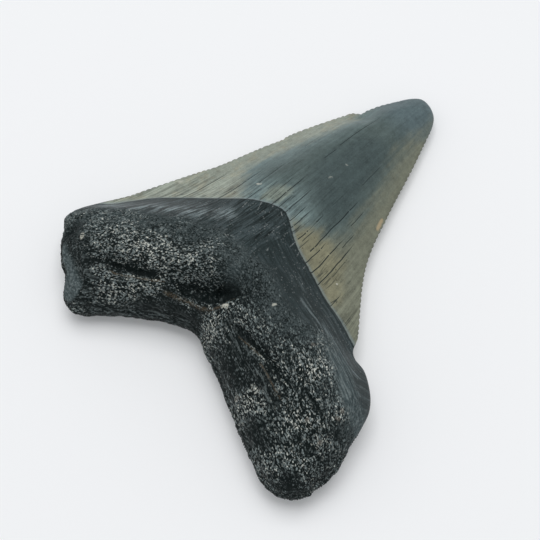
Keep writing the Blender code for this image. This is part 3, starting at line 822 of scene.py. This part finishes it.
def carried_by_both(xy, past_enamel, past_bone):
    """The values that the relief and the finish read at each point of either face."""
    dist, place, _ = from_rim(xy)
    across, along = fan_places(xy)
    return {
        "past_enamel": past_enamel,
        "past_bone": past_bone,
        "fan_across": across,
        "fan_along": along,
        "rim_distance": dist,
        "rim_run": place * COARSE_RIM_STEP,
        "left_tan": left_of(LEFT_TAN_PATH, xy),
        "right_tan": left_of(RIGHT_TAN_PATH, xy),
        "streak": streak_place(xy),
    }


# The marks of the shown face alone, and what the resting face has in place of each.
SHOWN_MARKS = {
    "olive": (partial(inside, OLIVE_PATCH), FAR_OUTSIDE),
    "apex_patch": (partial(inside, APEX_PATCH), FAR_OUTSIDE),
    "dark_core": (partial(inside, DARK_CORE), FAR_OUTSIDE),
    "scar": (partial(inside, EDGE_SCAR), FAR_OUTSIDE),
    "sheen": (partial(strongest, SHEEN_LINES), 0.0),
    "painted_shade": (painted_shade, 0.0),
    "rust": (partial(strongest, RUST_LINES), 0.0),
    "crumbs": (crumbs, UNDER_CRUMBS),
    "crust": (partial(patches, CRUST_PATCHES), 0.0),
    "fibrous": (partial(strongest, FIBRE_BANDS), 0.0),
    "worn": (worn, 0.0),
}


def store(mesh, name, values):
    """Keeps one number, or one vector, for each point of the mesh."""
    vectors = values.ndim == 2
    layer = mesh.attributes.new(name, "FLOAT_VECTOR" if vectors else "FLOAT", "POINT")
    layer.data.foreach_set("vector" if vectors else "value", values.astype(np.float32).ravel())


def inward_at(xy):
    """The direction that leads in from the nearest place on the rim."""
    _, place, _ = from_rim(xy)
    normals = inward_normals(COARSE_RIM)[np.floor(place).astype(int) % len(COARSE_RIM)]
    return np.column_stack([normals, np.zeros(len(xy))])


def fine_mesh():
    """The two faces, each a close mesh over the same outline, joined at the rim, in metres."""
    half_rim = RIM[::2]
    mark_points, mark_values = marks()
    shown_field = fields(CHEVRON_LINE, wall_insets(ROOT_ROUNDING_ABOVE, WALL_TURN),
                         (BONE_STEP, CROWN_STEP), (RIM, half_rim))
    shown_field = shown_field[far_from(shown_field, mark_points, MARK_CLEARANCE)]
    resting_field = fields(UNDER_ENAMEL_LINE, wall_insets(ROOT_ROUNDING_BELOW, WALL_TURN_BELOW),
                           (UNDER_BONE_STEP, UNDER_CROWN_STEP), (half_rim, half_rim))
    shown, shown_faces = plan(RIM, np.concatenate([mark_points, shown_field]))
    resting, resting_faces = plan(RIM, resting_field)

    edge = len(RIM)
    shift = len(shown) - edge
    xy = np.concatenate([shown, resting[edge:]])
    rim_z = rim_height(from_rim(RIM[:, :2])[1])
    z = np.concatenate([rim_z, shown_face(shown[edge:]), resting_face(resting[edge:])])
    faces = [tuple(face) for face in shown_faces]
    for face in resting_faces:
        faces.append(tuple(k if k < edge else k + shift for k in reversed(face)))
    middle = (RIM[:, :2].min(0) + RIM[:, :2].max(0)) / 2
    mesh = bpy.data.meshes.new("fossil_tooth")
    mesh.from_pydata((np.column_stack([xy - middle, z]) * MM).tolist(), [], faces)
    mesh.shade_smooth()

    dress(mesh, shown, resting[edge:], z)
    for name, amounts in mark_values.items():
        values = np.zeros(len(xy))
        values[edge:edge + len(amounts)] = amounts
        store(mesh, name, values)
    return mesh


def dress(mesh, shown, under, z):
    """Stores what the relief and the finish read at each point of both faces."""
    xy = np.concatenate([shown, under])
    past_under = below(UNDER_ENAMEL_LINE, under)
    above = carried_by_both(shown, below(CHEVRON_LINE, shown), below(BONE_LINE, shown))
    beneath = carried_by_both(under, past_under, past_under - UNDER_BONE_LAG)
    for name, values in above.items():
        store(mesh, name, np.concatenate([values, beneath[name]]))
    for name, (amount_at, amount_beneath) in SHOWN_MARKS.items():
        store(mesh, name, np.append(amount_at(shown), np.full(len(under), amount_beneath)))
    store(mesh, "strand", strands(xy, z))
    store(mesh, "inward", inward_at(xy))


# ---------------------------------------------------------------- node trees, in short steps


class Steps:
    """Adds nodes to a tree, each with one call that gives back the socket it makes."""

    def __init__(self, tree):
        self.tree = tree

    def node(self, kind, inputs=(), **settings):
        """A new node with its settings, and with its inputs linked or set."""
        node = self.tree.nodes.new(kind)
        for name, value in settings.items():
            setattr(node, name, value)
        for key, value in dict(inputs).items():
            self.put(node.inputs[key], value)
        return node

    def put(self, socket, value):
        """Links a socket to a socket, or sets it to a constant."""
        if isinstance(value, bpy.types.NodeSocket):
            self.tree.links.new(value, socket)
        else:
            socket.default_value = value

    def math(self, operation, a, b=0.0, c=0.0):
        node = self.node("ShaderNodeMath", {0: a, 1: b, 2: c}, operation=operation)
        return node.outputs[0]

    def fade(self, value, low, high):
        """0 at `low` and 1 at `high`, smooth between them."""
        inputs = {"Value": value, "From Min": low, "From Max": high}
        node = self.node("ShaderNodeMapRange", inputs, interpolation_type="SMOOTHSTEP")
        return node.outputs[0]

    def chain(self, operation, values):
        """One operation over several values, from the first to the last."""
        return reduce(lambda a, b: self.math(operation, a, b), values)

    def most(self, *values):
        return self.chain("MAXIMUM", values)

    def times(self, *values):
        return self.chain("MULTIPLY", values)

    def plus(self, *values):
        return self.chain("ADD", values)

    def less(self, a, b):
        return self.math("SUBTRACT", a, b)

    def swing(self, grain, amount):
        """Grain about 0.5 made into a change about 0."""
        return self.times(self.less(grain, 0.5), amount)

    def opposite(self, value):
        return self.less(1.0, value)

    def texture_inputs(self, vector, size, seed, **more):
        """What every texture is given: the places, one size in millimetres and a seed."""
        return {"Vector": vector, "W": seed, "Scale": self.math("DIVIDE", 1.0, size), **more}

    def grain(self, vector, size, detail=2.0, roughness=0.5, distortion=0.0, seed=0.0):
        """Noise about 0.5, with features of one size."""
        inputs = self.texture_inputs(
            vector, size, seed, Detail=detail, Roughness=roughness, Distortion=distortion)
        return self.node("ShaderNodeTexNoise", inputs, noise_dimensions="4D").outputs[0]

    def spots(self, vector, size, low, high, share, seed=0.0):
        """Round spots, one in each cell of about `size`, kept in a share of the cells."""
        inputs = self.texture_inputs(vector, size, seed)
        cells = self.node("ShaderNodeTexVoronoi", inputs, voronoi_dimensions="4D", feature="F1").outputs
        chance = self.node("ShaderNodeSeparateXYZ", {0: cells["Color"]}).outputs[0]
        kept = self.fade(chance, self.less(1.02, share), self.less(1.1, share))
        return self.times(self.fade(cells["Distance"], high, low), kept)

    def ruffled(self, vector, size, reach, seed=0.0):
        """Places pushed about a little, so that what is round comes out ragged."""
        inputs = self.texture_inputs(vector, size, seed, Detail=1.0)
        push = self.node("ShaderNodeTexNoise", inputs, noise_dimensions="4D").outputs["Color"]
        inputs = {0: push, 1: (reach, reach, reach), 2: vector}
        return self.node("ShaderNodeVectorMath", inputs, operation="MULTIPLY_ADD").outputs[0]

    def scaled(self, vector, amount):
        """A vector or a colour times a factor."""
        inputs = {0: vector, "Scale": amount}
        return self.node("ShaderNodeVectorMath", inputs, operation="SCALE").outputs[0]

    def stretched(self, vector, amount):
        """Places squeezed along x, so that grain there is drawn out into fibres."""
        inputs = {0: vector, 1: (amount, 1.0, 1.0)}
        return self.node("ShaderNodeVectorMath", inputs, operation="MULTIPLY").outputs[0]

    def worms(self, vector, size, width, seed=0.0):
        """Winding ridges, along the lines where the grain crosses its middle."""
        flow = self.grain(vector, size, detail=1.0, seed=seed)
        off_line = self.math("ABSOLUTE", self.less(flow, 0.5))
        return self.fade(off_line, width, self.times(width, 0.35))

    def blend(self, share, first, second):
        """One number giving way to another."""
        return self.plus(first, self.times(self.less(second, first), share))

    def vector(self, x, y, z=0.0):
        return self.node("ShaderNodeCombineXYZ", {0: x, 1: y, 2: z}).outputs[0]


class ReliefSteps(Steps):
    """Steps in a Geometry Nodes tree."""

    def carried(self, name, kind="FLOAT"):
        """What each point carries under one name."""
        node = self.node("GeometryNodeInputNamedAttribute", {"Name": name}, data_type=kind)
        return node.outputs[0]

    def push(self, geometry, direction, distance):
        """Moves each point along a direction."""
        inputs = {"Geometry": geometry, "Offset": self.scaled(direction, distance)}
        return self.node("GeometryNodeSetPosition", inputs).outputs[0]


class FinishSteps(Steps):
    """Steps in a material's tree."""

    def carried(self, name, output="Fac"):
        """What each point carries under one name."""
        return self.node("ShaderNodeAttribute", attribute_name=name).outputs[output]

    def mix(self, factor, first, second):
        """One colour laid over another."""
        first, second = (c if isinstance(c, bpy.types.NodeSocket) else (*c, 1.0) for c in (first, second))
        node = self.node("ShaderNodeMix", {0: factor, 6: first, 7: second}, data_type="RGBA")
        return node.outputs[2]

    def coats(self, colour, *coats):
        """A colour under several coats, each given as how far it covers and its colour."""
        return reduce(lambda under, coat: self.mix(coat[0], under, coat[1]), coats, colour)


# ---------------------------------------------------------------- the relief of the surface

RELIEF_INPUTS = {
    "Serration pitch": 1.0,
    "Serration depth": 0.18,
    "Rim roughness": 0.3,
    "Granule size": 0.52,
    "Granule width": 0.06,
    "Granule depth": 0.11,
    "Ridge size": 1.7,
    "Ridge depth": 0.3,
    "Pore size": 1.9,
    "Pore depth": 0.25,
    "Crack depth": 0.05,
    "Seed": 3.0,
}


def relief_tree():
    """Serrations on the cutting edges, and granules, ridges and pores on the bone."""
    tree = bpy.data.node_groups.new("serrations_and_bone_grain", "GeometryNodeTree")
    tree.interface.new_socket(name="Geometry", in_out="INPUT", socket_type="NodeSocketGeometry")
    for name in RELIEF_INPUTS:
        tree.interface.new_socket(name=name, in_out="INPUT", socket_type="NodeSocketFloat")
    tree.interface.new_socket(name="Finish", in_out="INPUT", socket_type="NodeSocketMaterial")
    tree.interface.new_socket(name="Geometry", in_out="OUTPUT", socket_type="NodeSocketGeometry")
    step = ReliefSteps(tree)
    given = step.node("NodeGroupInput").outputs
    geometry = serrations(step, given)
    geometry = bone_grain(step, given, geometry)
    geometry = crack_furrows(step, given, geometry)
    real = step.node("GeometryNodeRealizeInstances", {"Geometry": geometry}).outputs[0]
    inputs = {"Geometry": real, "Material": given["Finish"]}
    finished = step.node("GeometryNodeSetMaterial", inputs).outputs[0]
    step.put(step.node("NodeGroupOutput").inputs["Geometry"], finished)
    return tree


def serrations(step, given):
    """Rounded teeth with notches between them on the crown's edge, and lumps on the bone's."""
    turns = step.math("DIVIDE", step.carried("rim_run"), given["Serration pitch"])
    tooth = step.math("ABSOLUTE", step.math("SINE", step.times(turns, math.pi)))
    notch = step.math("POWER", step.opposite(tooth), 1.5)
    on_crown = step.fade(step.carried("past_enamel"), -0.5, -2.5)
    short_of_tip = step.fade(step.carried("fan_along"), 34.0, 31.0)
    near_rim = step.fade(step.carried("rim_distance"), 0.9, 0.0)
    toothed = step.times(notch, on_crown, short_of_tip, given["Serration depth"])
    strand = step.carried("strand", "FLOAT_VECTOR")
    lump = step.fade(step.grain(strand, given["Ridge size"], 4.0, 0.7), 0.35, 0.65)
    rough = step.times(lump, step.fade(step.carried("past_bone"), 0.0, 2.5), given["Rim roughness"])
    amount = step.times(step.plus(toothed, rough), near_rim, MM)
    return step.push(given["Geometry"], step.carried("inward", "FLOAT_VECTOR"), amount)


def granules(step, strand, given):
    """Ragged crumbs of bone, and short pieces of winding ridge between them."""
    size, width, seed = given["Granule size"], given["Granule width"], given["Seed"]
    winding = step.worms(strand, size, width, seed)
    gaps = step.grain(strand, step.times(size, 0.6), 0.5, seed=step.plus(seed, 40.0))
    breaks = step.fade(gaps, 0.48, 0.56)
    ragged = step.ruffled(strand, step.times(size, 0.5), 0.35, step.plus(seed, 50.0))
    crumb = step.spots(ragged, step.times(size, 0.75), 0.3, 0.52, 0.6, step.plus(seed, 60.0))
    return step.most(step.times(winding, breaks), crumb)


def ridges(step, strand, given):
    """Long uneven swellings that follow the strands."""
    return step.fade(step.grain(strand, given["Ridge size"], 3.0, 0.6, 0.8, given["Seed"]), 0.32, 0.68)


def bone_grain(step, given, geometry):
    """Granules and long ridges, cut inwards, and the bone's scattered pores."""
    strand = step.carried("strand", "FLOAT_VECTOR")
    pore = step.spots(strand, given["Pore size"], 0.08, 0.32, 0.5, given["Seed"])
    thick = step.fade(step.carried("crumbs"), 0.0, 0.9)
    rough = step.times(step.fade(step.carried("past_bone"), -1.0, 1.6), step.opposite(step.carried("worn")))
    in_from_rim = step.fade(step.carried("rim_distance"), 0.0, 0.12)
    depth = step.plus(
        step.times(step.opposite(granules(step, strand, given)), thick, given["Granule depth"]),
        step.times(step.opposite(ridges(step, strand, given)), given["Ridge depth"]),
        step.times(pore, given["Pore depth"]))
    depth = step.times(depth, rough, in_from_rim, -MM)
    return step.push(geometry, step.node("GeometryNodeInputNormal").outputs[0], depth)


def crack_furrows(step, given, geometry):
    """Hairline furrows along the cracks of the enamel."""
    depth = step.times(step.carried("crack"), given["Crack depth"], -MM)
    return step.push(geometry, step.node("GeometryNodeInputNormal").outputs[0], depth)


def in_scene(name, data):
    """A new object in the scene."""
    item = bpy.data.objects.new(name, data)
    bpy.context.scene.collection.objects.link(item)
    return item


def with_relief(mesh, finish):
    """The mesh as the relief tree leaves it."""
    piece = in_scene("fossil_tooth_blank", mesh)
    relief = piece.modifiers.new("relief", "NODES")
    relief.node_group = relief_tree()
    for socket in relief.node_group.interface.items_tree:
        if socket.in_out == "INPUT" and socket.name in RELIEF_INPUTS:
            relief[socket.identifier] = RELIEF_INPUTS[socket.name]
        if socket.in_out == "INPUT" and socket.name == "Finish":
            relief[socket.identifier] = finish
    graph = bpy.context.evaluated_depsgraph_get()
    carved = bpy.data.meshes.new_from_object(piece.evaluated_get(graph))
    bpy.data.objects.remove(piece)
    return carved


# ---------------------------------------------------------------- the finish

# Pale blue-grey enamel; beside the left margin it is partly painted light on the slope that faces the lamp.
PALE_BLUE = (0.148, 0.202, 0.202)
MID_BLUE = (0.086, 0.116, 0.112)
DARK_BLUE = (0.063, 0.088, 0.088)
TIP_BLUE = (0.104, 0.145, 0.157)
# The left margin's own tan, made paler as painted light on the slope that faces the lamp.
LIT_LEFT_TAN = (0.280, 0.305, 0.255)
OCHRE = (0.330, 0.295, 0.200)
# The right margin's own tan, made darker as painted shade on the slope that faces away.
SHADED_RIGHT_TAN = (0.176, 0.186, 0.141)
OLIVE = (0.240, 0.230, 0.150)
APEX_OLIVE = (0.200, 0.225, 0.182)
CHEVRON_RIM = (0.205, 0.255, 0.262)
SCAR_OCHRE = (0.380, 0.310, 0.200)
CRACK_LINE = (0.018, 0.026, 0.027)
FLECK_WHITE = (0.560, 0.560, 0.490)
BOURLETTE_BLACK = (0.019, 0.029, 0.030)
BOURLETTE_STREAK = (0.050, 0.068, 0.072)
BOURLETTE_SHEEN = (0.220, 0.270, 0.278)
SCRATCH_GREY = (0.180, 0.200, 0.200)
BONE_BLACK = (0.003, 0.007, 0.007)
BONE_GREY = (0.054, 0.071, 0.073)
# Crumb colours: partly the crumbs' own grey and cream, partly painted glints on their raised tops.
CRUMB_GREY_AND_GLINT = (0.188, 0.224, 0.224)
CRUMB_CREAM_AND_GLINT = (0.625, 0.640, 0.580)
CRUST_CREAM = (0.190, 0.178, 0.155)
RUST_BROWN = (0.150, 0.115, 0.075)
WORN_GREY = (0.054, 0.074, 0.078)
# Near-black for the painted shade of the pit, slits and hollow, and for the dark gaps between fibres.
SHADE_AND_FIBRE_GAP_BLACK = (0.004, 0.008, 0.008)

SMOOTHEST = 0.36
ROUGHER_BY_GRAIN = 0.2
ROUGHER_ON_BONE = 0.2
SHINE = 0.12
DENT_DEPTH = 0.1 * MM
DENT_STRENGTH = 0.8


def enamel_colour(step, place):
    """Blue-grey enamel, darker away from its edges, with tan margins, olive patches and cracks; the pale
    band beside the left margin and the paler left tan are partly painted light, the darker right tan partly
    painted shade.
    """
    across = step.carried("fan_across")
    along = step.carried("fan_along")
    past_enamel = step.carried("past_enamel")
    strip = step.vector(across, step.times(along, 0.1))
    feather = step.plus(
        step.swing(step.grain(strip, 1.1, 3.0, 0.6, seed=1.0), 4.0),
        step.swing(step.grain(place, 2.0, 4.0, 0.6, seed=1.5), 3.0))

    def zone(name, low, high):
        return step.fade(step.plus(step.carried(name), feather), low, high)

    off_left = step.fade(step.plus(step.times(step.carried("left_tan"), -1.0), feather), -0.6, 6.0)
    off_chevron = step.fade(step.plus(past_enamel, feather), -0.4, -8.0)
    mottle = step.fade(step.grain(place, 1.8, 4.0, 0.65, seed=2.5), 0.46, 0.66)
    left_tan = step.mix(step.times(mottle, 0.4), LIT_LEFT_TAN, OCHRE)
    colour = step.coats(
        PALE_BLUE,
        (step.times(off_left, off_chevron), MID_BLUE),
        (step.times(zone("dark_core", -2.6, 1.4), off_chevron), DARK_BLUE),
        (step.times(step.fade(along, 24.0, 31.0), off_left, 0.8), TIP_BLUE),
        (step.times(zone("left_tan", -2.2, 1.4), 0.9), left_tan),
        (zone("right_tan", -2.2, 2.4), SHADED_RIGHT_TAN),
        (step.times(zone("olive", -1.6, 1.6), 0.8), OLIVE),
        (step.times(zone("apex_patch", -0.9, 0.9), 0.7), APEX_OLIVE))
    streaks = step.grain(step.vector(across, step.times(along, 0.05)), 0.45, 3.0, 0.65, seed=2.0)
    low_down = step.fade(past_enamel, -13.0, -1.0)
    low_blue = step.times(low_down, step.opposite(zone("olive", -2.6, 0.6)))
    clouds = step.grain(place, 1.1, 4.0, 0.65, seed=3.0)
    dust = step.grain(place, 0.24, 2.0, 0.7, seed=4.0)
    tone = step.plus(
        1.0,
        step.swing(streaks, step.plus(0.6, step.times(low_blue, 2.0))),
        step.swing(clouds, 0.9),
        step.swing(dust, 0.7),
        step.times(step.spots(place, 0.6, 0.1, 0.34, 0.4, seed=4.5), low_down, -0.5))
    flow = step.grain(step.vector(across, step.times(along, 0.06)), 0.8, 1.0, seed=4.7)
    hairline = step.fade(step.math("ABSOLUTE", step.less(flow, 0.5)), 0.02, 0.006)
    near_chevron = step.fade(past_enamel, -8.0, -1.5)
    here = step.times(near_chevron, step.fade(step.grain(place, 2.5, seed=4.8), 0.4, 0.6))
    return step.coats(
        step.scaled(colour, tone),
        (step.times(hairline, here, 0.65), CRACK_LINE),
        (step.times(step.fade(past_enamel, -0.75, -0.15), 0.6), CHEVRON_RIM),
        (step.fade(step.carried("scar"), -0.1, 0.2), SCAR_OCHRE),
        (step.fade(step.carried("crack"), 0.2, 0.65), CRACK_LINE))


def bourlette_colour(step, place):
    """Smooth black band, streaked along the cracks on the left and along the chevron on the right, with
    painted highlights where its streaks catch the light and painted shade just below the enamel's edge.
    """
    across = step.carried("fan_across")
    past_enamel = step.carried("past_enamel")
    left = step.vector(step.carried("streak"), step.times(step.carried("fan_along"), 0.09))
    right = step.vector(past_enamel, step.times(across, 0.08))
    on_right = step.fade(across, 1.0, 5.0)
    left_fine = step.grain(left, 0.32, 2.0, 0.6, seed=5.0)
    right_fine = step.grain(right, 0.42, 2.0, 0.6, seed=5.0)
    fine = step.blend(on_right, left_fine, right_fine)
    line = step.fade(fine, 0.46, 0.58)
    groove = step.times(step.fade(fine, 0.42, 0.34), step.blend(on_right, 0.9, 0.25))
    plain = step.times(step.fade(across, 2.0, 6.0), step.fade(across, 16.0, 11.0))
    broad = step.grain(place, 2.2, 2.0, seed=6.0)
    lit = step.times(line, step.fade(broad, 0.2, 0.6), step.less(1.0, step.times(plain, 0.6)))
    colour = step.coats(
        BOURLETTE_BLACK,
        (lit, BOURLETTE_STREAK),
        # Painted highlight along the streaks that catch the light.
        (step.times(step.carried("sheen"), step.plus(0.04, line)), BOURLETTE_SHEEN),
        (groove, BONE_BLACK))
    dust = step.grain(place, 0.22, 2.0, 0.7, seed=7.0)
    motes = step.spots(step.ruffled(place, 0.25, 0.2, seed=7.2), 0.4, 0.2, 0.46, 0.6, seed=7.5)
    return step.coats(
        step.scaled(colour, step.plus(0.1, step.times(dust, 1.8))),
        (step.times(motes, step.fade(broad, 0.25, 0.5), 0.5), SCRATCH_GREY),
        # Painted shade: a thin dark line just below the enamel's edge, where its step shades the bourlette.
        (step.times(step.fade(past_enamel, 0.45, 0.15), 0.6), BONE_BLACK),
        (step.times(step.fade(step.carried("scratch"), 0.1, 0.7), 0.85), SCRATCH_GREY))


def bone_colour(step, place):
    """Near-black bone under pale winding granules and crumbs, thicker in some places; the pale tops are
    partly painted glints, and the pit, slits and hollows carry painted shade.
    """
    strand = step.carried("strand", "Vector")
    thick = step.carried("crumbs")
    deep = step.fade(step.carried("past_bone"), 1.0, 11.0)
    fine = step.grain(place, 0.22, 2.0, 0.6, seed=8.0)
    broad = step.grain(place, 1.6, 3.0, 0.6, seed=8.5)
    film = step.plus(
        step.swing(fine, 1.7),
        step.swing(broad, 0.8),
        step.times(deep, -0.5))
    patchy = step.plus(step.swing(fine, 1.2), step.swing(broad, 1.0))
    painted_shade = step.fade(step.plus(step.carried("painted_shade"), patchy), 0.2, 0.85)
    fibres = step.grain(step.stretched(strand, 0.1), 0.34, 2.0, 0.6, seed=8.2)
    fibrous = step.carried("fibrous")
    ragged = step.ruffled(strand, 0.2, 0.16, seed=9.2)
    specks = step.spots(ragged, 0.27, 0.34, 0.58, 0.75, seed=9.4)
    raised = step.most(granules(step, strand, RELIEF_INPUTS), specks)
    chance = step.grain(step.stretched(strand, 0.4), 0.75, 3.0, 0.7, seed=9.0)
    stray = step.spots(step.ruffled(strand, 0.3, 0.2, seed=9.6), 0.45, 0.26, 0.46, 0.4, seed=9.8)
    hidden = step.plus(step.times(painted_shade, 0.3), step.times(fibrous, 0.16))
    showing = step.fade(step.less(step.plus(chance, step.times(thick, 0.5)), hidden), 0.65, 0.85)
    pale = step.fade(step.plus(step.grain(place, 0.4, 1.0, seed=10.0), step.times(thick, 0.3)), 0.66, 0.88)
    rusty = step.times(step.carried("rust"), step.fade(fine, 0.4, 0.6), 0.6)
    crust = step.fade(step.plus(step.carried("crust"), step.swing(fine, 1.2)), 0.35, 0.75)
    worn_tone = step.coats(
        WORN_GREY,
        (step.times(step.fade(fibres, 0.46, 0.64), 0.6), CRUMB_GREY_AND_GLINT),
        (step.times(step.fade(fibres, 0.44, 0.34), 0.45), BONE_BLACK))
    return step.coats(
        BONE_BLACK,
        (step.fade(film, -0.28, 0.2), BONE_GREY),
        # Painted shade in the pit, the slits, the hollow at the left end and above the left lobe's lower
        # edge.
        (step.times(painted_shade, 0.88), SHADE_AND_FIBRE_GAP_BLACK),
        (step.times(fibrous, step.fade(fibres, 0.48, 0.38), 0.7), SHADE_AND_FIBRE_GAP_BLACK),
        (step.times(fibrous, step.fade(fibres, 0.52, 0.62), 0.42), CRUMB_GREY_AND_GLINT),
        (step.times(specks, step.opposite(painted_shade), 0.28), CRUMB_GREY_AND_GLINT),
        (step.times(stray, step.opposite(painted_shade), 0.6), CRUMB_GREY_AND_GLINT),
        # Pale crumbs and granules: partly their own colour, partly painted glints on the raised tops.
        (step.times(raised, showing), step.mix(pale, CRUMB_GREY_AND_GLINT, CRUMB_CREAM_AND_GLINT)),
        (rusty, RUST_BROWN),
        (step.times(crust, 0.45), CRUST_CREAM),
        (step.carried("worn"), step.scaled(worn_tone, step.plus(0.2, step.times(fine, 1.6)))))


def new_finish(name):
    """A new material, and the shader in it."""
    material = bpy.data.materials.new(name)
    material.use_nodes = True
    return material, material.node_tree.nodes["Principled BSDF"]


def fossil_finish():
    """One finish for the whole tooth, blended at the chevron and at the edge of the bone."""
    material, shader = new_finish("fossil_enamel_and_bone")
    step = FinishSteps(material.node_tree)
    place = step.scaled(step.node("ShaderNodeTexCoord").outputs["Object"], 1.0 / MM)
    ragged = step.swing(step.grain(place, 1.2, 3.0, 0.6, seed=11.0), 3.0)
    chipped = step.swing(step.grain(place, 0.5, 2.0, seed=11.2), 0.35)
    off_enamel = step.fade(step.plus(step.carried("past_enamel"), chipped), -0.1, 0.1)
    on_bone = step.fade(step.plus(step.carried("past_bone"), ragged), -1.2, 1.0)
    colour = step.coats(
        enamel_colour(step, place),
        (off_enamel, bourlette_colour(step, place)),
        (on_bone, bone_colour(step, place)),
        (step.carried("fleck"), FLECK_WHITE))
    step.put(shader.inputs["Base Color"], colour)
    gloss = step.grain(place, 0.5, 3.0, 0.6, seed=12.0)
    roughness = step.plus(
        SMOOTHEST, step.times(gloss, ROUGHER_BY_GRAIN), step.times(on_bone, ROUGHER_ON_BONE))
    step.put(shader.inputs["Roughness"], roughness)
    shader.inputs["Specular IOR Level"].default_value = SHINE
    granule = granules(step, step.carried("strand", "Vector"), RELIEF_INPUTS)
    dents = step.plus(
        step.times(granule, on_bone, 0.7),
        step.times(step.grain(place, 0.24, 3.0, 0.6, seed=13.0), on_bone, 0.5),
        step.times(step.grain(place, 0.6, 2.0, seed=14.0), 0.1))
    bump = step.node(
        "ShaderNodeBump", {"Height": dents, "Distance": DENT_DEPTH, "Strength": DENT_STRENGTH})
    step.put(shader.inputs["Normal"], bump.outputs[0])
    return material


# ---------------------------------------------------------------- the piece and its stage


def tooth_piece():
    """The dressed tooth, held inside the solid's own box."""
    mesh = with_relief(fine_mesh(), fossil_finish())
    mesh.name = "fossil_tooth"
    low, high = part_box(NODE)
    places = np.zeros(len(mesh.vertices) * 3)
    mesh.vertices.foreach_get("co", places)
    places = np.clip(places.reshape(-1, 3), np.array(low), np.array(high))
    mesh.vertices.foreach_set("co", places.ravel())
    mesh.update()
    piece = in_scene("fossil_tooth", mesh)
    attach(piece, "root")
    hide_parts(NODE)
    return piece


FLOOR_HALF = 0.9
FLOOR_WHITE = (0.810, 0.816, 0.828, 1)
FLOOR_GLOW = (0.108, 0.111, 0.112, 1)
FLOOR_ROUGHNESS = 0.7
FLOOR_SHINE = 0.2
FLOOR_GAP = 0.02 * MM


def floor():
    """A plain pale table top that glows faintly, so that shadows on it stay light."""
    mesh = bpy.data.meshes.new("table_top")
    square = [(-1, -1), (1, -1), (1, 1), (-1, 1)]
    points = [(x * FLOOR_HALF, y * FLOOR_HALF, -FLOOR_GAP) for x, y in square]
    mesh.from_pydata(points, [], [(0, 1, 2, 3)])
    material, shader = new_finish("matt_white")
    shader.inputs["Base Color"].default_value = FLOOR_WHITE
    shader.inputs["Roughness"].default_value = FLOOR_ROUGHNESS
    shader.inputs["Specular IOR Level"].default_value = FLOOR_SHINE
    shader.inputs["Emission Color"].default_value = FLOOR_GLOW
    shader.inputs["Emission Strength"].default_value = 1.0
    mesh.materials.append(material)
    piece = in_scene("table_top", mesh)


def toward(azimuth, elevation):
    """A unit direction from the tooth. Azimuth 0 is -Y and 90 is +X; elevation is above the floor."""
    a, e = math.radians(azimuth), math.radians(elevation)
    return Vector((math.sin(a) * math.cos(e), -math.cos(a) * math.cos(e), math.sin(e)))


def stand(name, data, target, azimuth, elevation, distance):
    """A lamp or a camera that looks at the target from one direction."""
    item = in_scene(name, data)
    back = toward(azimuth, elevation)
    item.location = target + back * distance
    item.rotation_euler = (-back).to_track_quat("-Z", "Y").to_euler()
    return item


CAMERA_AZIMUTH = 42.0
CAMERA_ELEVATION = 62.0
CAMERA_DISTANCE = 0.207
CAMERA_TARGET = Vector((-1.188, -6.727, 0.0)) * MM
CAMERA_VIEW = 25.0
CAMERA_CLIP_START = 0.01
SENSOR = 36.0

SoftBox = namedtuple("SoftBox", "name azimuth elevation size power")
SOFT_BOXES = [
    SoftBox("key", CAMERA_AZIMUTH + 172, 79, 0.75, 5.5),
    SoftBox("side", CAMERA_AZIMUTH - 85, 42, 1.0, 0.6),
]
SOFT_BOX_DISTANCE = 1.0
ROOM_WHITE = (0.97, 0.985, 1.0, 1)
ROOM_STRENGTH = 0.48


def studio():
    """A pale room with a soft box almost overhead, leaning past the tip, and a weak one at one side."""
    world = bpy.data.worlds.new("studio")
    world.use_nodes = True
    background = world.node_tree.nodes["Background"]
    background.inputs["Color"].default_value = ROOM_WHITE
    background.inputs["Strength"].default_value = ROOM_STRENGTH
    bpy.context.scene.world = world
    for box in SOFT_BOXES:
        data = bpy.data.lights.new(box.name, "AREA")
        data.energy = box.power
        data.size = box.size
        stand(box.name, data, Vector(), box.azimuth, box.elevation, SOFT_BOX_DISTANCE)
    bpy.context.scene.view_settings.view_transform = "Standard"


def camera():
    """Looks down on the tooth from past the root."""
    data = bpy.data.cameras.new("camera")
    data.sensor_width = SENSOR
    data.lens = SENSOR / 2 / math.tan(math.radians(CAMERA_VIEW / 2))
    data.clip_start = CAMERA_CLIP_START
    bpy.context.scene.camera = stand(
        "camera", data, CAMERA_TARGET, CAMERA_AZIMUTH, CAMERA_ELEVATION, CAMERA_DISTANCE)


camera()
tooth_piece()
floor()
studio()
